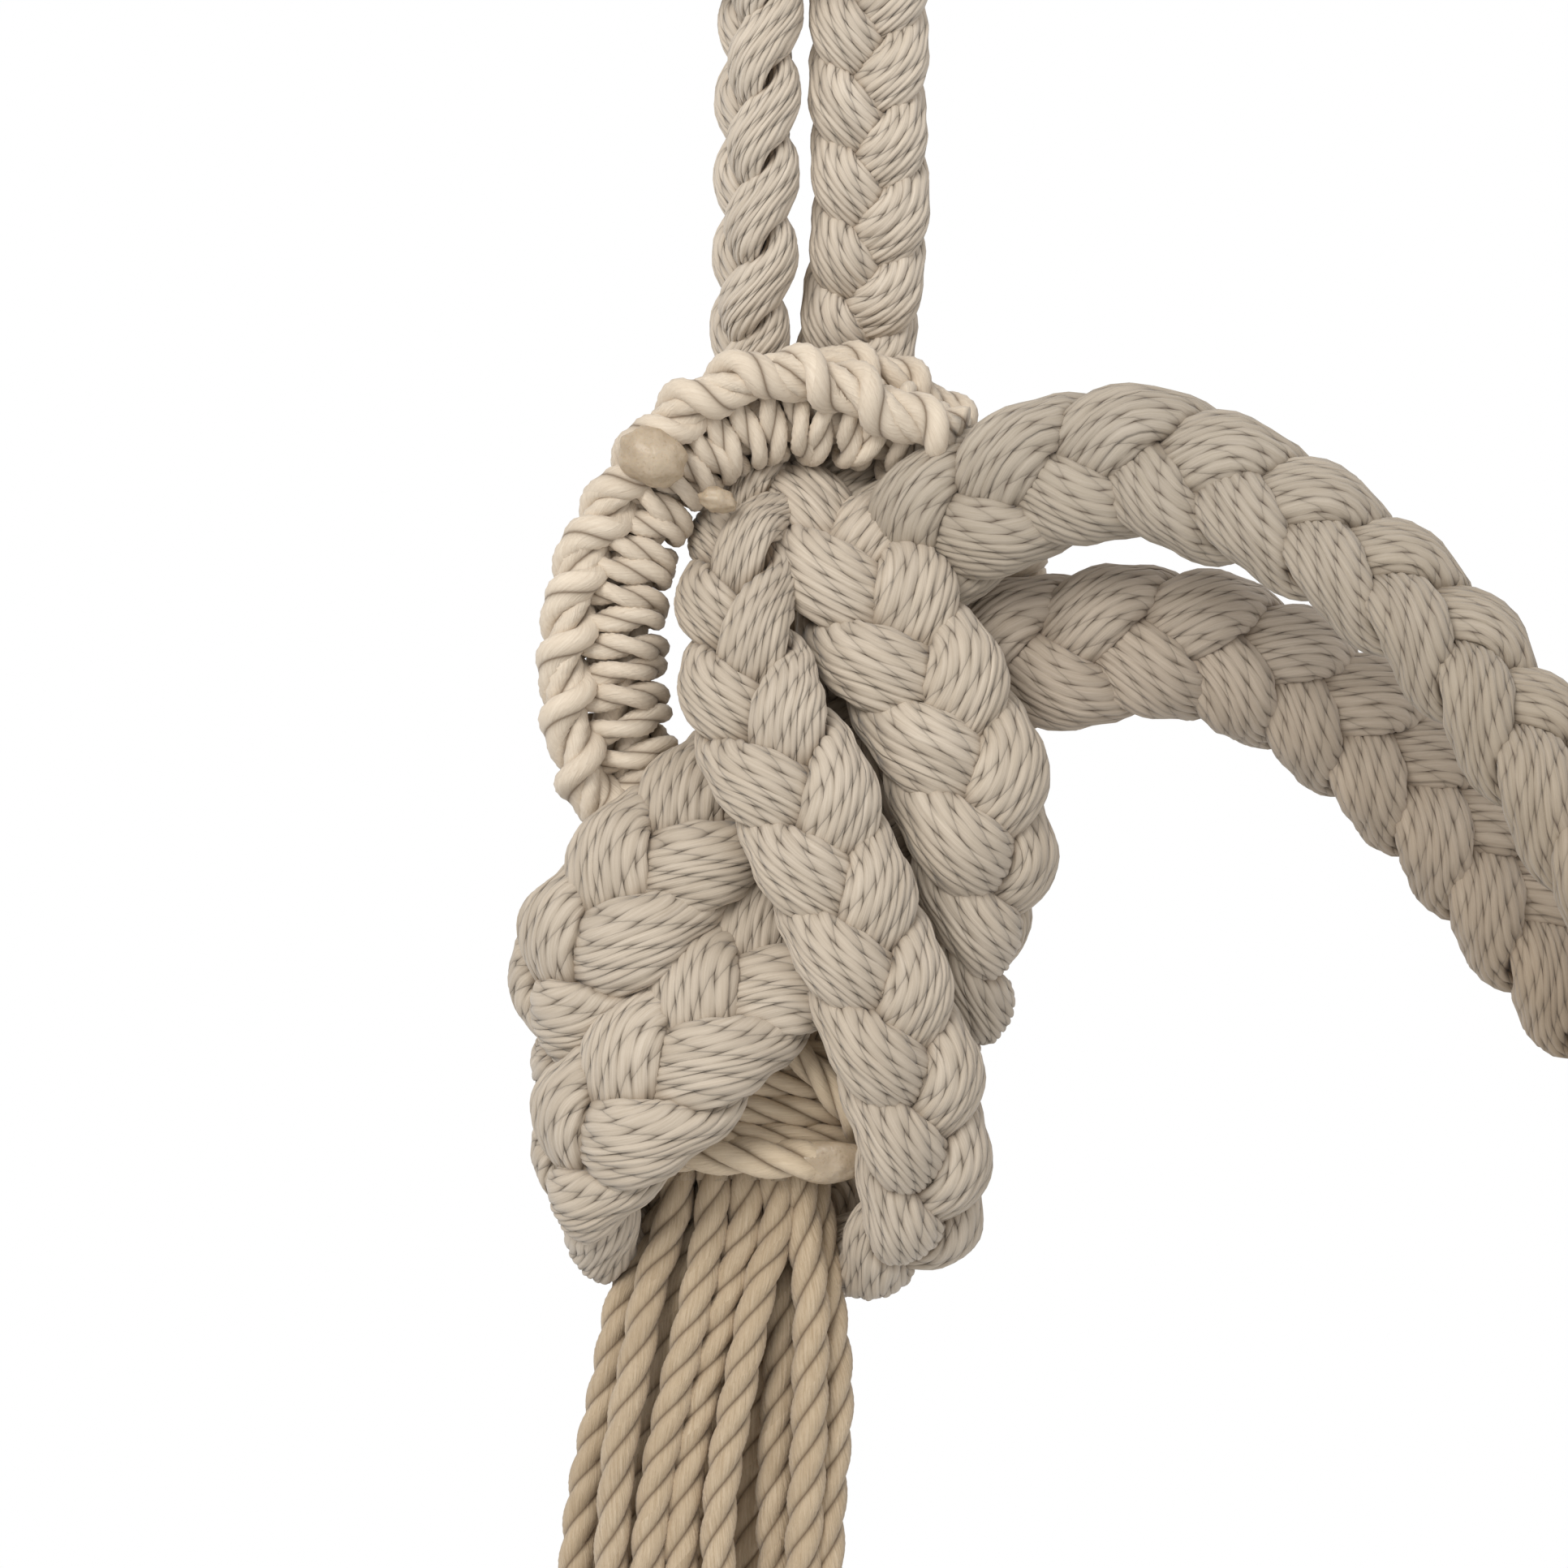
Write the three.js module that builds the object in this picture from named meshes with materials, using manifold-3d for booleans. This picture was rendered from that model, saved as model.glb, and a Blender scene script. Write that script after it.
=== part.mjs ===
// A hanging macrame planter: a two-ended sling of braided cord under a wooden dowel.
// Units are millimetres and +Z is up. The viewer stands at -Y, and the origin is the
// inner top of the steel hanging ring, where a ceiling hook carries the planter.

import * as THREE from 'three';
import { mergeVertices } from 'three/addons/utils/BufferGeometryUtils.js';
import Module from 'manifold-3d';

const wasm = await Module();
wasm.setup();

// ---------- Driving sizes ----------

const GAP = 0.35; // clearance that touching pieces keep
const SLIVER = 0.08; // detail under this size is smoothed off a cut piece
const THINNEST = 0.05; // least height of a triangle on a cut piece
const CLEANING_PASSES = 400;
const CORD = 6; // three-ply cord

const RING_BAR = 6;
const RING_RADIUS = 22; // to the middle of the bar
const RING_CENTRE_Z = -(RING_RADIUS - RING_BAR / 2);
const RING_BOTTOM_Z = RING_CENTRE_Z - RING_RADIUS;

const DOWEL_DIAMETER = 14;
const DOWEL_HALF_LENGTH = 244;
const DOWEL_Z = -200;
const KNOB_DIAMETER = 25;
const KNOB_LENGTH = 20;
const KNOB_SOCKET = 12;
const DOWEL_HITCH_X = 216;
const HITCH_TURNS = 3;

const GATHER_X = -188.5; // reference point of the left knot
const GATHER_Z = DOWEL_Z - 210;

const STRAP_WIDE = 19; // the braid where the load stretches it
const STRAP_THICK = 13;
const KNOT_WIDE = 22.5; // the same braid where it relaxes in the knot
const KNOT_THICK = 14;
const ARM_WIDE = 25; // the heavier braid of the arms
const ARM_THICK = 15;
const WRAP_WIDE = 24; // the arms' braid where it wraps the knot
const WRAP_THICK = 14;

const LOOP_CORE = 7;
const LOOP_SLEEVE = 16;
const LOOP_RIDGE = 7.5;

const TASSEL_CORD = 5.4; // cord squeezed by the binding above it
const NECK_HALF_WIDE = 13;
const NECK_HALF_DEEP = 8.6;
const NECK_TURNS = 4;
const NECK_U = -4.5;
const NECK_Y = 3;
const NECK_WRAP_W = -14.5; // middle of the binding's height
const NECK_CORE_BOTTOM_W = -28;
const NECK_CORE_TOP_W = 4;
const NECK_CORE_SIDES = 16;

const WHIPPING_TURNS = 3;
const WHIPPING_PLACE = [7.2, 0.5, 174];
const WHIPPING_HALF_WIDE = 17.6;
const WHIPPING_HALF_DEEP = 10.2;

const HITCH_SLACK = 1.4; // between the ring's bar and the hitch on it
const CORD_LEG_GAP = 4; // from the hitches' turns to the hanging cord's ends

const TIE_X = 28;
const TIE_RADIUS = 18; // room for the arm's flat section at any turn
const TIE_WAIST = 4; // half the distance between the two runs where they meet
const TIE_BENDS = 6;

const BRAID_SIDES = 10;
const CORD_SIDES = 8;
const ROUND_SIDES = 20;
const BRAID_STEP = 10;

// ---------- Materials ----------

function material(color, roughness, metalness = 0) {
  return new THREE.MeshStandardMaterial({ color, roughness, metalness });
}

const CREAM = 0xcabfa9;
const WARM_CREAM = 0xc9b893;
const STEEL = 0xb9bcc0;
const OAK = 0xc39a66;

// ---------- Lines and solids ----------

// A point in the left knot's own frame: u to the right, y away from the viewer, w up.
function inGather(u, y, w) {
  return new THREE.Vector3(GATHER_X + u, y, GATHER_Z + w);
}

// The middle line of a flat braid. Each station is [u, y, w, then the direction that the
// braid's flat side faces], and the facing turns smoothly from one station to the next.
class BraidLine extends THREE.CatmullRomCurve3 {
  constructor(stations) {
    super(stations.map(([u, y, w]) => inGather(u, y, w)), false, 'centripetal');
    this.facings = stations.map((station) => new THREE.Vector3(...station.slice(3)));
  }

  facingAt(along) {
    const place = this.getUtoTmapping(along) * (this.facings.length - 1);
    const first = Math.min(Math.floor(place), this.facings.length - 2);
    return this.facings[first].clone().lerp(this.facings[first + 1], place - first);
  }

  computeFrenetFrames(steps) {
    const frames = { tangents: [], normals: [], binormals: [] };
    for (let i = 0; i <= steps; i += 1) {
      const tangent = this.getTangentAt(i / steps);
      const facing = this.facingAt(i / steps);
      const normal = facing.addScaledVector(tangent, -facing.dot(tangent)).normalize();
      frames.tangents.push(tangent);
      frames.normals.push(normal);
      frames.binormals.push(tangent.clone().cross(normal));
    }
    return frames;
  }
}

function oval(thick, wide, sides) {
  const points = [];
  for (let i = 0; i < sides; i += 1) {
    const turn = (2 * Math.PI * (i + 0.5)) / sides;
    points.push(new THREE.Vector2((thick / 2) * Math.cos(turn), (wide / 2) * Math.sin(turn)));
  }
  return new THREE.Shape(points);
}

function solidFrom(geometry) {
  const bare = geometry.clone();
  bare.deleteAttribute('normal');
  bare.deleteAttribute('uv');
  const merged = mergeVertices(bare, 1e-4);
  const mesh = new wasm.Mesh({
    numProp: 3,
    vertProperties: new Float32Array(merged.attributes.position.array),
    triVerts: new Uint32Array(merged.index.array),
  });
  return new wasm.Manifold(mesh);
}

function geometryFrom(solid) {
  const mesh = solid.getMesh();
  const geometry = new THREE.BufferGeometry();
  geometry.setAttribute('position', new THREE.BufferAttribute(mesh.vertProperties, 3));
  geometry.setIndex(new THREE.BufferAttribute(mesh.triVerts, 1));
  geometry.computeVertexNormals();
  return geometry;
}

function swept(line, section, stepLength) {
  const steps = Math.max(2, Math.round(line.getLength() / stepLength));
  return new THREE.ExtrudeGeometry(section, { steps, bevelEnabled: false, extrudePath: line });
}

// A piece is its solid and a cutter, the same solid grown by the clearance.
function braidPiece(line, thick, wide, stepLength = BRAID_STEP) {
  const solid = solidFrom(swept(line, oval(thick, wide, BRAID_SIDES), stepLength));
  const grown = oval(thick + 2 * GAP, wide + 2 * GAP, BRAID_SIDES);
  return { line, solid, cutter: solidFrom(swept(line, grown, stepLength)) };
}

function cordPiece(line, diameter, stepLength, sides = CORD_SIDES) {
  const solid = solidFrom(swept(line, oval(diameter, diameter, sides), stepLength));
  const grown = oval(diameter + 2 * GAP, diameter + 2 * GAP, sides);
  return { line, solid, cutter: solidFrom(swept(line, grown, stepLength)) };
}

function largestBody(solid) {
  const bodies = solid.decompose();
  return bodies.reduce((best, body) => (body.volume() > best.volume() ? body : best));
}

function longestSide(points, [a, b, c]) {
  const sides = [[a, b, c], [b, c, a], [c, a, b]];
  const reach = ([from, to]) => points[from].distanceTo(points[to]);
  return sides.reduce((best, side) => (reach(side) > reach(best) ? side : best));
}

function triangleHeight(points, triangle) {
  const [from, to, tip] = longestSide(points, triangle);
  const base = points[to].clone().sub(points[from]);
  const rise = points[tip].clone().sub(points[from]);
  return base.clone().cross(rise).length() / base.length();
}

function neighboursOf(triangles, corner) {
  return new Set(triangles.filter((triangle) => triangle.includes(corner)).flat());
}

// Draws a short side to one point. Gives nothing where that would pinch the surface.
function drawnTogether(points, triangles, [from, to]) {
  const around = neighboursOf(triangles, from);
  const shared = [...neighboursOf(triangles, to)].filter((corner) => around.has(corner));
  if (shared.length !== 4) {
    return null;
  }
  points[from].lerp(points[to], 0.5);
  const kept = triangles.filter((triangle) => !(triangle.includes(from) && triangle.includes(to)));
  return kept.map((triangle) => triangle.map((corner) => (corner === to ? from : corner)));
}

// Turns a thin triangle and the neighbour on its longest side the other way across.
function turnedAcross(points, triangles, thin, [from, to, tip]) {
  const other = triangles.find((triangle) => (
    triangle !== thin && triangle.includes(from) && triangle.includes(to)
  ));
  const far = other.find((corner) => corner !== from && corner !== to);
  if (neighboursOf(triangles, tip).has(far)) {
    return null;
  }
  const before = Math.min(triangleHeight(points, thin), triangleHeight(points, other));
  const pair = [[from, far, tip], [far, to, tip]];
  if (Math.min(...pair.map((triangle) => triangleHeight(points, triangle))) <= before) {
    return null;
  }
  return [...triangles.filter((triangle) => triangle !== thin && triangle !== other), ...pair];
}

// The same solid without its thinnest triangles, which a cut leaves along its edges.
function withoutSlivers(solid) {
  const mesh = solid.getMesh();
  const points = [];
  for (let i = 0; i < mesh.vertProperties.length; i += 3) {
    points.push(new THREE.Vector3().fromArray(mesh.vertProperties, i));
  }
  let triangles = [];
  for (let i = 0; i < mesh.triVerts.length; i += 3) {
    triangles.push([...mesh.triVerts.slice(i, i + 3)]);
  }
  for (let pass = 0; pass < CLEANING_PASSES; pass += 1) {
    const thin = triangles.filter((triangle) => triangleHeight(points, triangle) < THINNEST);
    let better = null;
    for (let i = 0; i < thin.length && !better; i += 1) {
      const [from, to, tip] = longestSide(points, thin[i]);
      const nearer = points[tip].distanceTo(points[from]) < points[tip].distanceTo(points[to]);
      const end = nearer ? from : to;
      if (points[tip].distanceTo(points[end]) < 4 * THINNEST) {
        better = drawnTogether(points, triangles, [tip, end]);
      }
      better = better ?? turnedAcross(points, triangles, thin[i], [from, to, tip]);
    }
    if (!better) {
      break;
    }
    triangles = better;
  }
  return new wasm.Manifold(new wasm.Mesh({
    numProp: 3,
    vertProperties: new Float32Array(points.flatMap((point) => point.toArray())),
    triVerts: new Uint32Array(triangles.flat()),
  }));
}

function clearOf(solid, cutters) {
  let left = solid;
  for (const cutter of cutters) {
    left = left.subtract(cutter);
  }
  return withoutSlivers(largestBody(largestBody(left).simplify(SLIVER)));
}

function smoothLine(points) {
  return new THREE.CatmullRomCurve3(points, false, 'centripetal');
}

// Turns of cord laid side by side round an oval: a sleeve with one bulge for each turn,
// its axis along Z and its middle at the origin.
function wrapping(turns, cord, halfWide, halfDeep, segments = 16) {
  const inner = 10;
  const height = turns * cord;
  const profile = [new THREE.Vector2(inner, -height / 2)];
  for (let turn = 0; turn < turns; turn += 1) {
    const low = -height / 2 + turn * cord;
    profile.push(new THREE.Vector2(inner + cord * 0.72, low + cord * 0.02));
    profile.push(new THREE.Vector2(inner + cord, low + cord * 0.3));
    profile.push(new THREE.Vector2(inner + cord, low + cord * 0.7));
  }
  profile.push(new THREE.Vector2(inner + cord * 0.72, height / 2));
  profile.push(new THREE.Vector2(inner, height / 2));
  profile.push(profile[0].clone());
  const geometry = new THREE.LatheGeometry(profile, segments);
  geometry.rotateX(Math.PI / 2);
  const position = geometry.attributes.position;
  for (let i = 0; i < position.count; i += 1) {
    const angle = Math.atan2(position.getY(i), position.getX(i));
    const radial = Math.hypot(position.getX(i), position.getY(i)) - inner;
    position.setX(i, (halfWide + radial) * Math.cos(angle));
    position.setY(i, (halfDeep + radial) * Math.sin(angle));
  }
  return geometry;
}

function addMesh(group, name, geometry, look) {
  const mesh = new THREE.Mesh(geometry, look);
  mesh.name = name;
  group.add(mesh);
  return mesh;
}

// ---------- The two ends of the sling ----------

// One braid makes the strap, and its two ends go on through the gather loop as the front
// braid and the back braid. The arms' heavier braids come through the middle of the knot
// and go on as the lower and upper wraps. All four ends meet behind the knot.

const LOWER_WRAP = [
  [-1, 24, -36, 0, 1, -0.2],
  [-11, 22, -37, -0.3, 0.9, -0.2],
  [-20, 15, -36, -0.8, 0.6, -0.2],
  [-27, 4, -31, -1, 0, -0.2],
  [-30, -7, -24, -0.8, -0.6, 0],
  [-26, -15, -17, -0.5, -0.9, 0.2],
  [-17, -18.5, -8, -0.35, -1, 0.35],
  [-8, -16.5, 1, -0.2, -1, 0.35],
  [0, -11, 9, -0.1, -1, 0.3],
  [8, -5, 15, 0.1, -1, 0.1],
  [15, -1, 19, 0.2, -1, 0],
];

const FRONT_BRAID = [
  [-3.8, 18.5, 96, -0.9, -0.4, 0],
  [-3.5, 9, 84, -0.8, -0.6, 0.2],
  [-5.7, -3, 73, -0.6, -0.8, 0.1],
  [-5, -10, 60, -0.45, -0.9, 0],
  [-2, -15, 47, -0.2, -1, 0],
  [3, -18, 38, 0, -1, 0],
  [10, -20, 23, 0.1, -1, 0],
  [15, -21, 11, 0.2, -1, 0],
  [19, -20, -1, 0.3, -1, 0],
  [23, -16, -14, 0.4, -0.9, 0],
  [24, -10, -26, 0.5, -0.8, -0.3],
  [22.5, -1, -35, 0.5, -0.5, -0.7],
  [17, 11, -38, 0.4, 0.2, -0.9],
  [9, 20, -37, 0.3, 0.8, -0.5],
  [0, 24, -36, 0, 1, -0.2],
];

const STRAP = [
  [-3.8, 18.5, 96.7, -1, 0, 0],
  [-3.8, 16, 106, -1, 0, 0],
  [-2.6, 9, 124, -1, 0, 0],
  [-2, 3, 149, -1, 0, 0],
  [-1, 0, 170, -1, -0.1, 0],
  [2, -6, 186, -0.7, -0.7, 0],
  [6.5, -13.6, 202, 0, -1, 0],
  [7, -13.9, 210, 0, -1, 0],
  [7, -9.8, 219.8, 0, -0.7, 0.7],
  [7, 0, 223.9, 0, 0, 1],
  [7, 9.8, 219.8, 0, 0.7, 0.7],
  [7, 13.9, 210, 0, 1, 0],
  [8, 11.5, 200, 0, 1, 0],
  [14.5, 3, 182, 0, 1, 0],
  [15.6, 0, 170, 0, 1, 0],
  [15.6, 3, 149, 0, 1, 0],
  [15.6, 9, 124, 0, 1, 0],
  [13.5, 16, 106, 0, 1, 0],
  [10.5, 18.5, 96.7, 0, 1, 0],
];

const BACK_BRAID = [
  [10.5, 18.5, 96, 0.1, -1, 0],
  [9, 10, 84, 0.3, -1, 0.2],
  [12.5, -1, 72, 0.3, -1, 0],
  [20.5, -7, 59, 0.2, -1, 0],
  [27.5, -9, 46, 0.2, -1, 0],
  [32.5, -9, 33, 0.4, -0.9, 0],
  [34.5, -3, 20, 0.7, -0.7, 0],
  [33, 5, 9, 1, -0.1, 0],
  [28, 15, 0, 0.8, 0.6, 0],
  [19, 23, -6, 0.4, 0.9, 0],
  [6, 28, -9, 0, 1, 0],
];

const UPPER_WRAP = [
  [2.5, 28, -9, 0, 1, 0],
  [-8, 27.5, -9.5, -0.2, 1, 0],
  [-20, 22, -9, -0.6, 0.8, 0],
  [-29, 12, -5, -0.9, 0.3, 0],
  [-33, 2, -1, -1, -0.3, 0],
  [-32, -6, 6, -0.7, -0.7, 0],
  [-27, -11, 12, -0.4, -0.9, 0.25],
  [-20, -11, 21, -0.25, -1, 0.35],
  [-11, -8, 30, -0.2, -1, 0.35],
  [-3, -2, 37, 0, -1, 0.2],
];

// Each gather loop stands above its knot and both of its ends are held inside the knot.
const LOOP = [
  [-2, 16, 15],
  [-11, 14, 18],
  [-17.5, 10, 26],
  [-21.5, 4, 36],
  [-24, 0.5, 46],
  [-24.7, 0, 58],
  [-23.5, 0, 71],
  [-18.5, 0, 83],
  [-10, 0, 92],
  [1.5, 0, 96],
  [14, 1, 95],
  [27, 5, 90],
  [35.5, 14, 80],
  [38, 21, 69],
  [37, 27, 57],
  [33, 29, 45],
  [25, 28, 34],
  [14, 24, 26],
];

// The ridge of knots stands on the loop's outer side and turns to the front at the top.
const RIDGE = [
  [-27.5, -3, 31],
  [-32, -6, 43],
  [-33.3, -6.5, 56],
  [-30.8, -6.5, 72],
  [-25, -6.5, 83],
  [-17, -8, 94],
  [-3, -9.5, 102],
  [9, -9.5, 101],
  [20, -8.5, 96],
  [29, -5.5, 93],
];

function gatherPieces() {
  const loopPoints = LOOP.map((point) => inGather(...point));
  const loopCore = cordPiece(smoothLine(loopPoints), LOOP_CORE, 12);
  const loopBody = cordPiece(smoothLine(loopPoints.slice(1, -1)), LOOP_SLEEVE, 12, BRAID_SIDES);
  const ridge = cordPiece(smoothLine(RIDGE.map((point) => inGather(...point))), LOOP_RIDGE, 9);
  const strap = braidPiece(new BraidLine(STRAP), STRAP_THICK, STRAP_WIDE, 7.5);
  const front = braidPiece(new BraidLine(FRONT_BRAID), KNOT_THICK, KNOT_WIDE);
  const back = braidPiece(new BraidLine(BACK_BRAID), KNOT_THICK, KNOT_WIDE);
  const lower = braidPiece(new BraidLine(LOWER_WRAP), WRAP_THICK, WRAP_WIDE);
  const upper = braidPiece(new BraidLine(UPPER_WRAP), WRAP_THICK, WRAP_WIDE);

  const neckWrap = wrapping(NECK_TURNS, CORD - 0.5, NECK_HALF_WIDE + GAP, NECK_HALF_DEEP + GAP);
  neckWrap.translate(...inGather(NECK_U, NECK_Y, NECK_WRAP_W));
  const neckLine = smoothLine([
    inGather(NECK_U, NECK_Y, NECK_CORE_BOTTOM_W),
    inGather(NECK_U, NECK_Y, NECK_CORE_TOP_W),
  ]);
  const neckOutline = new THREE.EllipseCurve(0, 0, NECK_HALF_DEEP, NECK_HALF_WIDE);
  const neckSection = new THREE.Shape(neckOutline.getPoints(NECK_CORE_SIDES).slice(0, -1));
  const neckCore = solidFrom(swept(neckLine, neckSection, NECK_CORE_SIDES));

  const whipping = wrapping(WHIPPING_TURNS, CORD, WHIPPING_HALF_WIDE, WHIPPING_HALF_DEEP);
  whipping.translate(...inGather(...WHIPPING_PLACE));

  const braids = [front, back, lower, upper];
  const cutters = braids.map((braid) => braid.cutter);
  const ridgeSolid = clearOf(ridge.solid, [loopBody.cutter, ...cutters]);
  const sleeve = clearOf(loopBody.solid, [loopCore.cutter, strap.cutter, ...cutters]);
  const frontSolid = clearOf(front.solid, [strap.cutter]);
  const backSolid = clearOf(back.solid, [front.cutter, strap.cutter]);
  const lowerSolid = clearOf(lower.solid, [front.cutter, back.cutter]);
  const upperSolid = clearOf(upper.solid, [front.cutter, back.cutter, lower.cutter]);
  const neckSolid = clearOf(neckCore, cutters);
  const neckWrapSolid = clearOf(solidFrom(neckWrap), cutters);
  const whippingSolid = clearOf(solidFrom(whipping), [strap.cutter]);
  const coreSolid = clearOf(loopCore.solid, [...cutters, strap.cutter]);

  return {
    cutters: [...cutters, loopBody.cutter, ridge.cutter, strap.cutter],
    meshes: [
      ['strap', strap.solid, CREAM],
      ['strap_whipping', whippingSolid, CREAM],
      ['loop_core', coreSolid, CREAM],
      ['loop_hitching', sleeve, CREAM],
      ['loop_ridge', ridgeSolid, CREAM],
      ['front_braid', frontSolid, CREAM],
      ['back_braid', backSolid, CREAM],
      ['lower_wrap', lowerSolid, CREAM],
      ['upper_wrap', upperSolid, CREAM],
      ['neck_core', neckSolid, WARM_CREAM],
      ['neck_wrap', neckWrapSolid, WARM_CREAM],
    ],
  };
}

// ---------- Tassels ----------

// Each row across the neck: how many cords, their depth at the neck and at the ends.
const TASSEL_ROWS = [
  { count: 5, neckY: -2, endY: -9, length: 100 },
  { count: 4, neckY: 2.95, endY: 1, length: 97 },
  { count: 3, neckY: 7.9, endY: 11, length: 99 },
];
const TASSEL_PITCH = 5.75;
const TASSEL_TOP_W = -32;
const TASSEL_END_SPREAD = 11;
const TASSEL_END_U = -13;
const TASSEL_KNEE = 0.45; // how far down a cord bends outward
const TASSEL_KNEE_SPREAD = 0.9;
const TASSEL_UNEVEN = 2.5; // the cut ends aren't quite level

function tasselLines() {
  const lines = [];
  for (const row of TASSEL_ROWS) {
    for (let i = 0; i < row.count; i += 1) {
      const across = i - (row.count - 1) / 2;
      const start = inGather(NECK_U + across * TASSEL_PITCH, row.neckY, TASSEL_TOP_W);
      const endW = TASSEL_TOP_W - row.length + TASSEL_UNEVEN * Math.cos(3 * i);
      const end = inGather(TASSEL_END_U + across * TASSEL_END_SPREAD, row.endY, endW);
      const knee = start.clone().lerp(end, TASSEL_KNEE);
      knee.x += across * TASSEL_KNEE_SPREAD;
      lines.push(smoothLine([start, knee, end]));
    }
  }
  return lines;
}

function buildSide(group, side, pieces) {
  for (const [name, solid, color] of pieces.meshes) {
    addMesh(group, `${side}_${name}`, geometryFrom(solid), material(color, 0.9));
  }
  tasselLines().forEach((line, index) => {
    const geometry = swept(line, oval(TASSEL_CORD, TASSEL_CORD, CORD_SIDES), 3 * CORD);
    const name = `${side}_tassel_cord_${String(index + 1).padStart(2, '0')}`;
    addMesh(group, name, geometry, material(WARM_CREAM, 0.85));
  });
}

// ---------- Cradle arms and ties ----------

// Half of each arm, from its root inside the left knot to the middle of the planter.
const FRONT_ARM = [
  [15.5, 8, 66, 0.2, -1, 0],
  [21, 2, 73.5, 0.1, -1, 0],
  [28, -3, 78.5, 0, -1, 0],
  [36.5, -6, 83, 0, -1, 0],
  [46, -8, 86, 0, -1, 0],
  [57.5, -10, 87.5, 0, -1, 0],
  [67.5, -13, 84.5, 0.1, -1, 0.1],
  [78.5, -17, 79.5, 0.3, -0.95, 0.25],
  [91, -21, 70.5, 0.5, -0.8, 0.45],
  [102.5, -25, 61, 0.6, -0.7, 0.5],
  [111.5, -29, 48, 0.65, -0.65, 0.45],
  [121, -32.5, 35, 0.65, -0.7, 0.4],
  [133, -37, 18, 0.45, -0.85, 0.2],
  [144, -41, 5, 0.15, -0.85, -0.3],
  [156, -43.5, -6, 0, -0.7, -0.65],
  [170, -45, -12.5, 0, -0.7, -0.7],
  [188.5, -45.5, -15, 0, -0.7, -0.7],
];

const BACK_ARM = [
  [31, 12, 55, 0, -1, 0],
  [38.5, 10, 57.5, 0, -1, 0],
  [46, 9, 58.5, 0, -1, 0],
  [57.5, 9, 60, 0, -1, 0],
  [69.5, 11, 59.5, 0, -1, 0],
  [80.5, 15, 56.5, 0, -1, 0],
  [90, 19, 50.5, 0.1, -1, 0.1],
  [100, 23, 43, 0.1, -1, 0.1],
  [110, 27, 34.5, 0.2, -0.9, 0.2],
  [120, 31, 24, 0.2, -0.9, 0.2],
  [129, 34, 13, 0.3, -0.9, 0.3],
  [137, 37.5, 3, 0.3, -0.8, 0.4],
  [148, 41, -7, 0.2, -0.8, 0.6],
  [160, 43.5, -12.5, 0.1, -0.7, 0.7],
  [174, 45, -15, 0, -0.7, 0.7],
  [188.5, 45.5, -15.5, 0, -0.7, 0.7],
];

// The second half of an arm is the mirror image of the first.
function wholeArm(half) {
  const mirrored = half.slice(0, -1).reverse().map(([u, y, w, faceX, faceY, faceZ]) => (
    [-2 * GATHER_X - u, y, w, -faceX, faceY, faceZ]
  ));
  return new BraidLine([...half, ...mirrored]);
}

function pointAtX(line, x) {
  const points = line.getSpacedPoints(400);
  return points.reduce((best, point) => (Math.abs(point.x - x) < Math.abs(best.x - x) ? point : best));
}

// A tie is a loop of cord round both arms, drawn together between them.
function tieLine(x, frontArm, backArm) {
  const front = pointAtX(frontArm, x);
  const back = pointAtX(backArm, x);
  const middleZ = (front.z + back.z) / 2;
  const points = [];
  const roundArm = (arm, startTurn) => {
    for (let i = 0; i <= TIE_BENDS; i += 1) {
      const turn = Math.PI * (startTurn - i / TIE_BENDS);
      const y = arm.y + TIE_RADIUS * Math.cos(turn);
      points.push(new THREE.Vector3(x, y, arm.z + TIE_RADIUS * Math.sin(turn)));
    }
  };
  const between = (y, z) => points.push(new THREE.Vector3(x, y, middleZ + z));
  roundArm(front, 1.5);
  between(-9, TIE_WAIST);
  between(9, TIE_WAIST);
  roundArm(back, 0.5);
  between(9, -TIE_WAIST);
  between(-9, -TIE_WAIST);
  points.push(new THREE.Vector3(x, front.y + 2 * GAP, front.z - TIE_RADIUS));
  return smoothLine(points);
}

// ---------- Hanger ----------

function ringGeometry() {
  const geometry = new THREE.TorusGeometry(RING_RADIUS, RING_BAR / 2, 8, 30);
  geometry.rotateX(Math.PI / 2);
  geometry.translate(0, 0, RING_CENTRE_Z);
  return geometry;
}

// A turned knob with a socket for the dowel's end, its open side towards -Z.
function knobGeometry() {
  const bore = DOWEL_DIAMETER / 2 + GAP;
  const radius = KNOB_DIAMETER / 2;
  const profile = [
    new THREE.Vector2(0, KNOB_SOCKET),
    new THREE.Vector2(bore, KNOB_SOCKET),
    new THREE.Vector2(bore, 0),
    new THREE.Vector2(radius * 0.72, 0),
  ];
  const arcSteps = 6;
  for (let i = 1; i < arcSteps; i += 1) {
    const turn = (Math.PI / 2) * (i / arcSteps) * 1.5 - Math.PI / 4;
    profile.push(new THREE.Vector2(
      radius * Math.cos(turn),
      KNOB_LENGTH * (0.42 + 0.58 * Math.sin(turn)),
    ));
  }
  profile.push(new THREE.Vector2(0, KNOB_LENGTH));
  return new THREE.LatheGeometry(profile, ROUND_SIDES).rotateX(Math.PI / 2);
}

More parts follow.
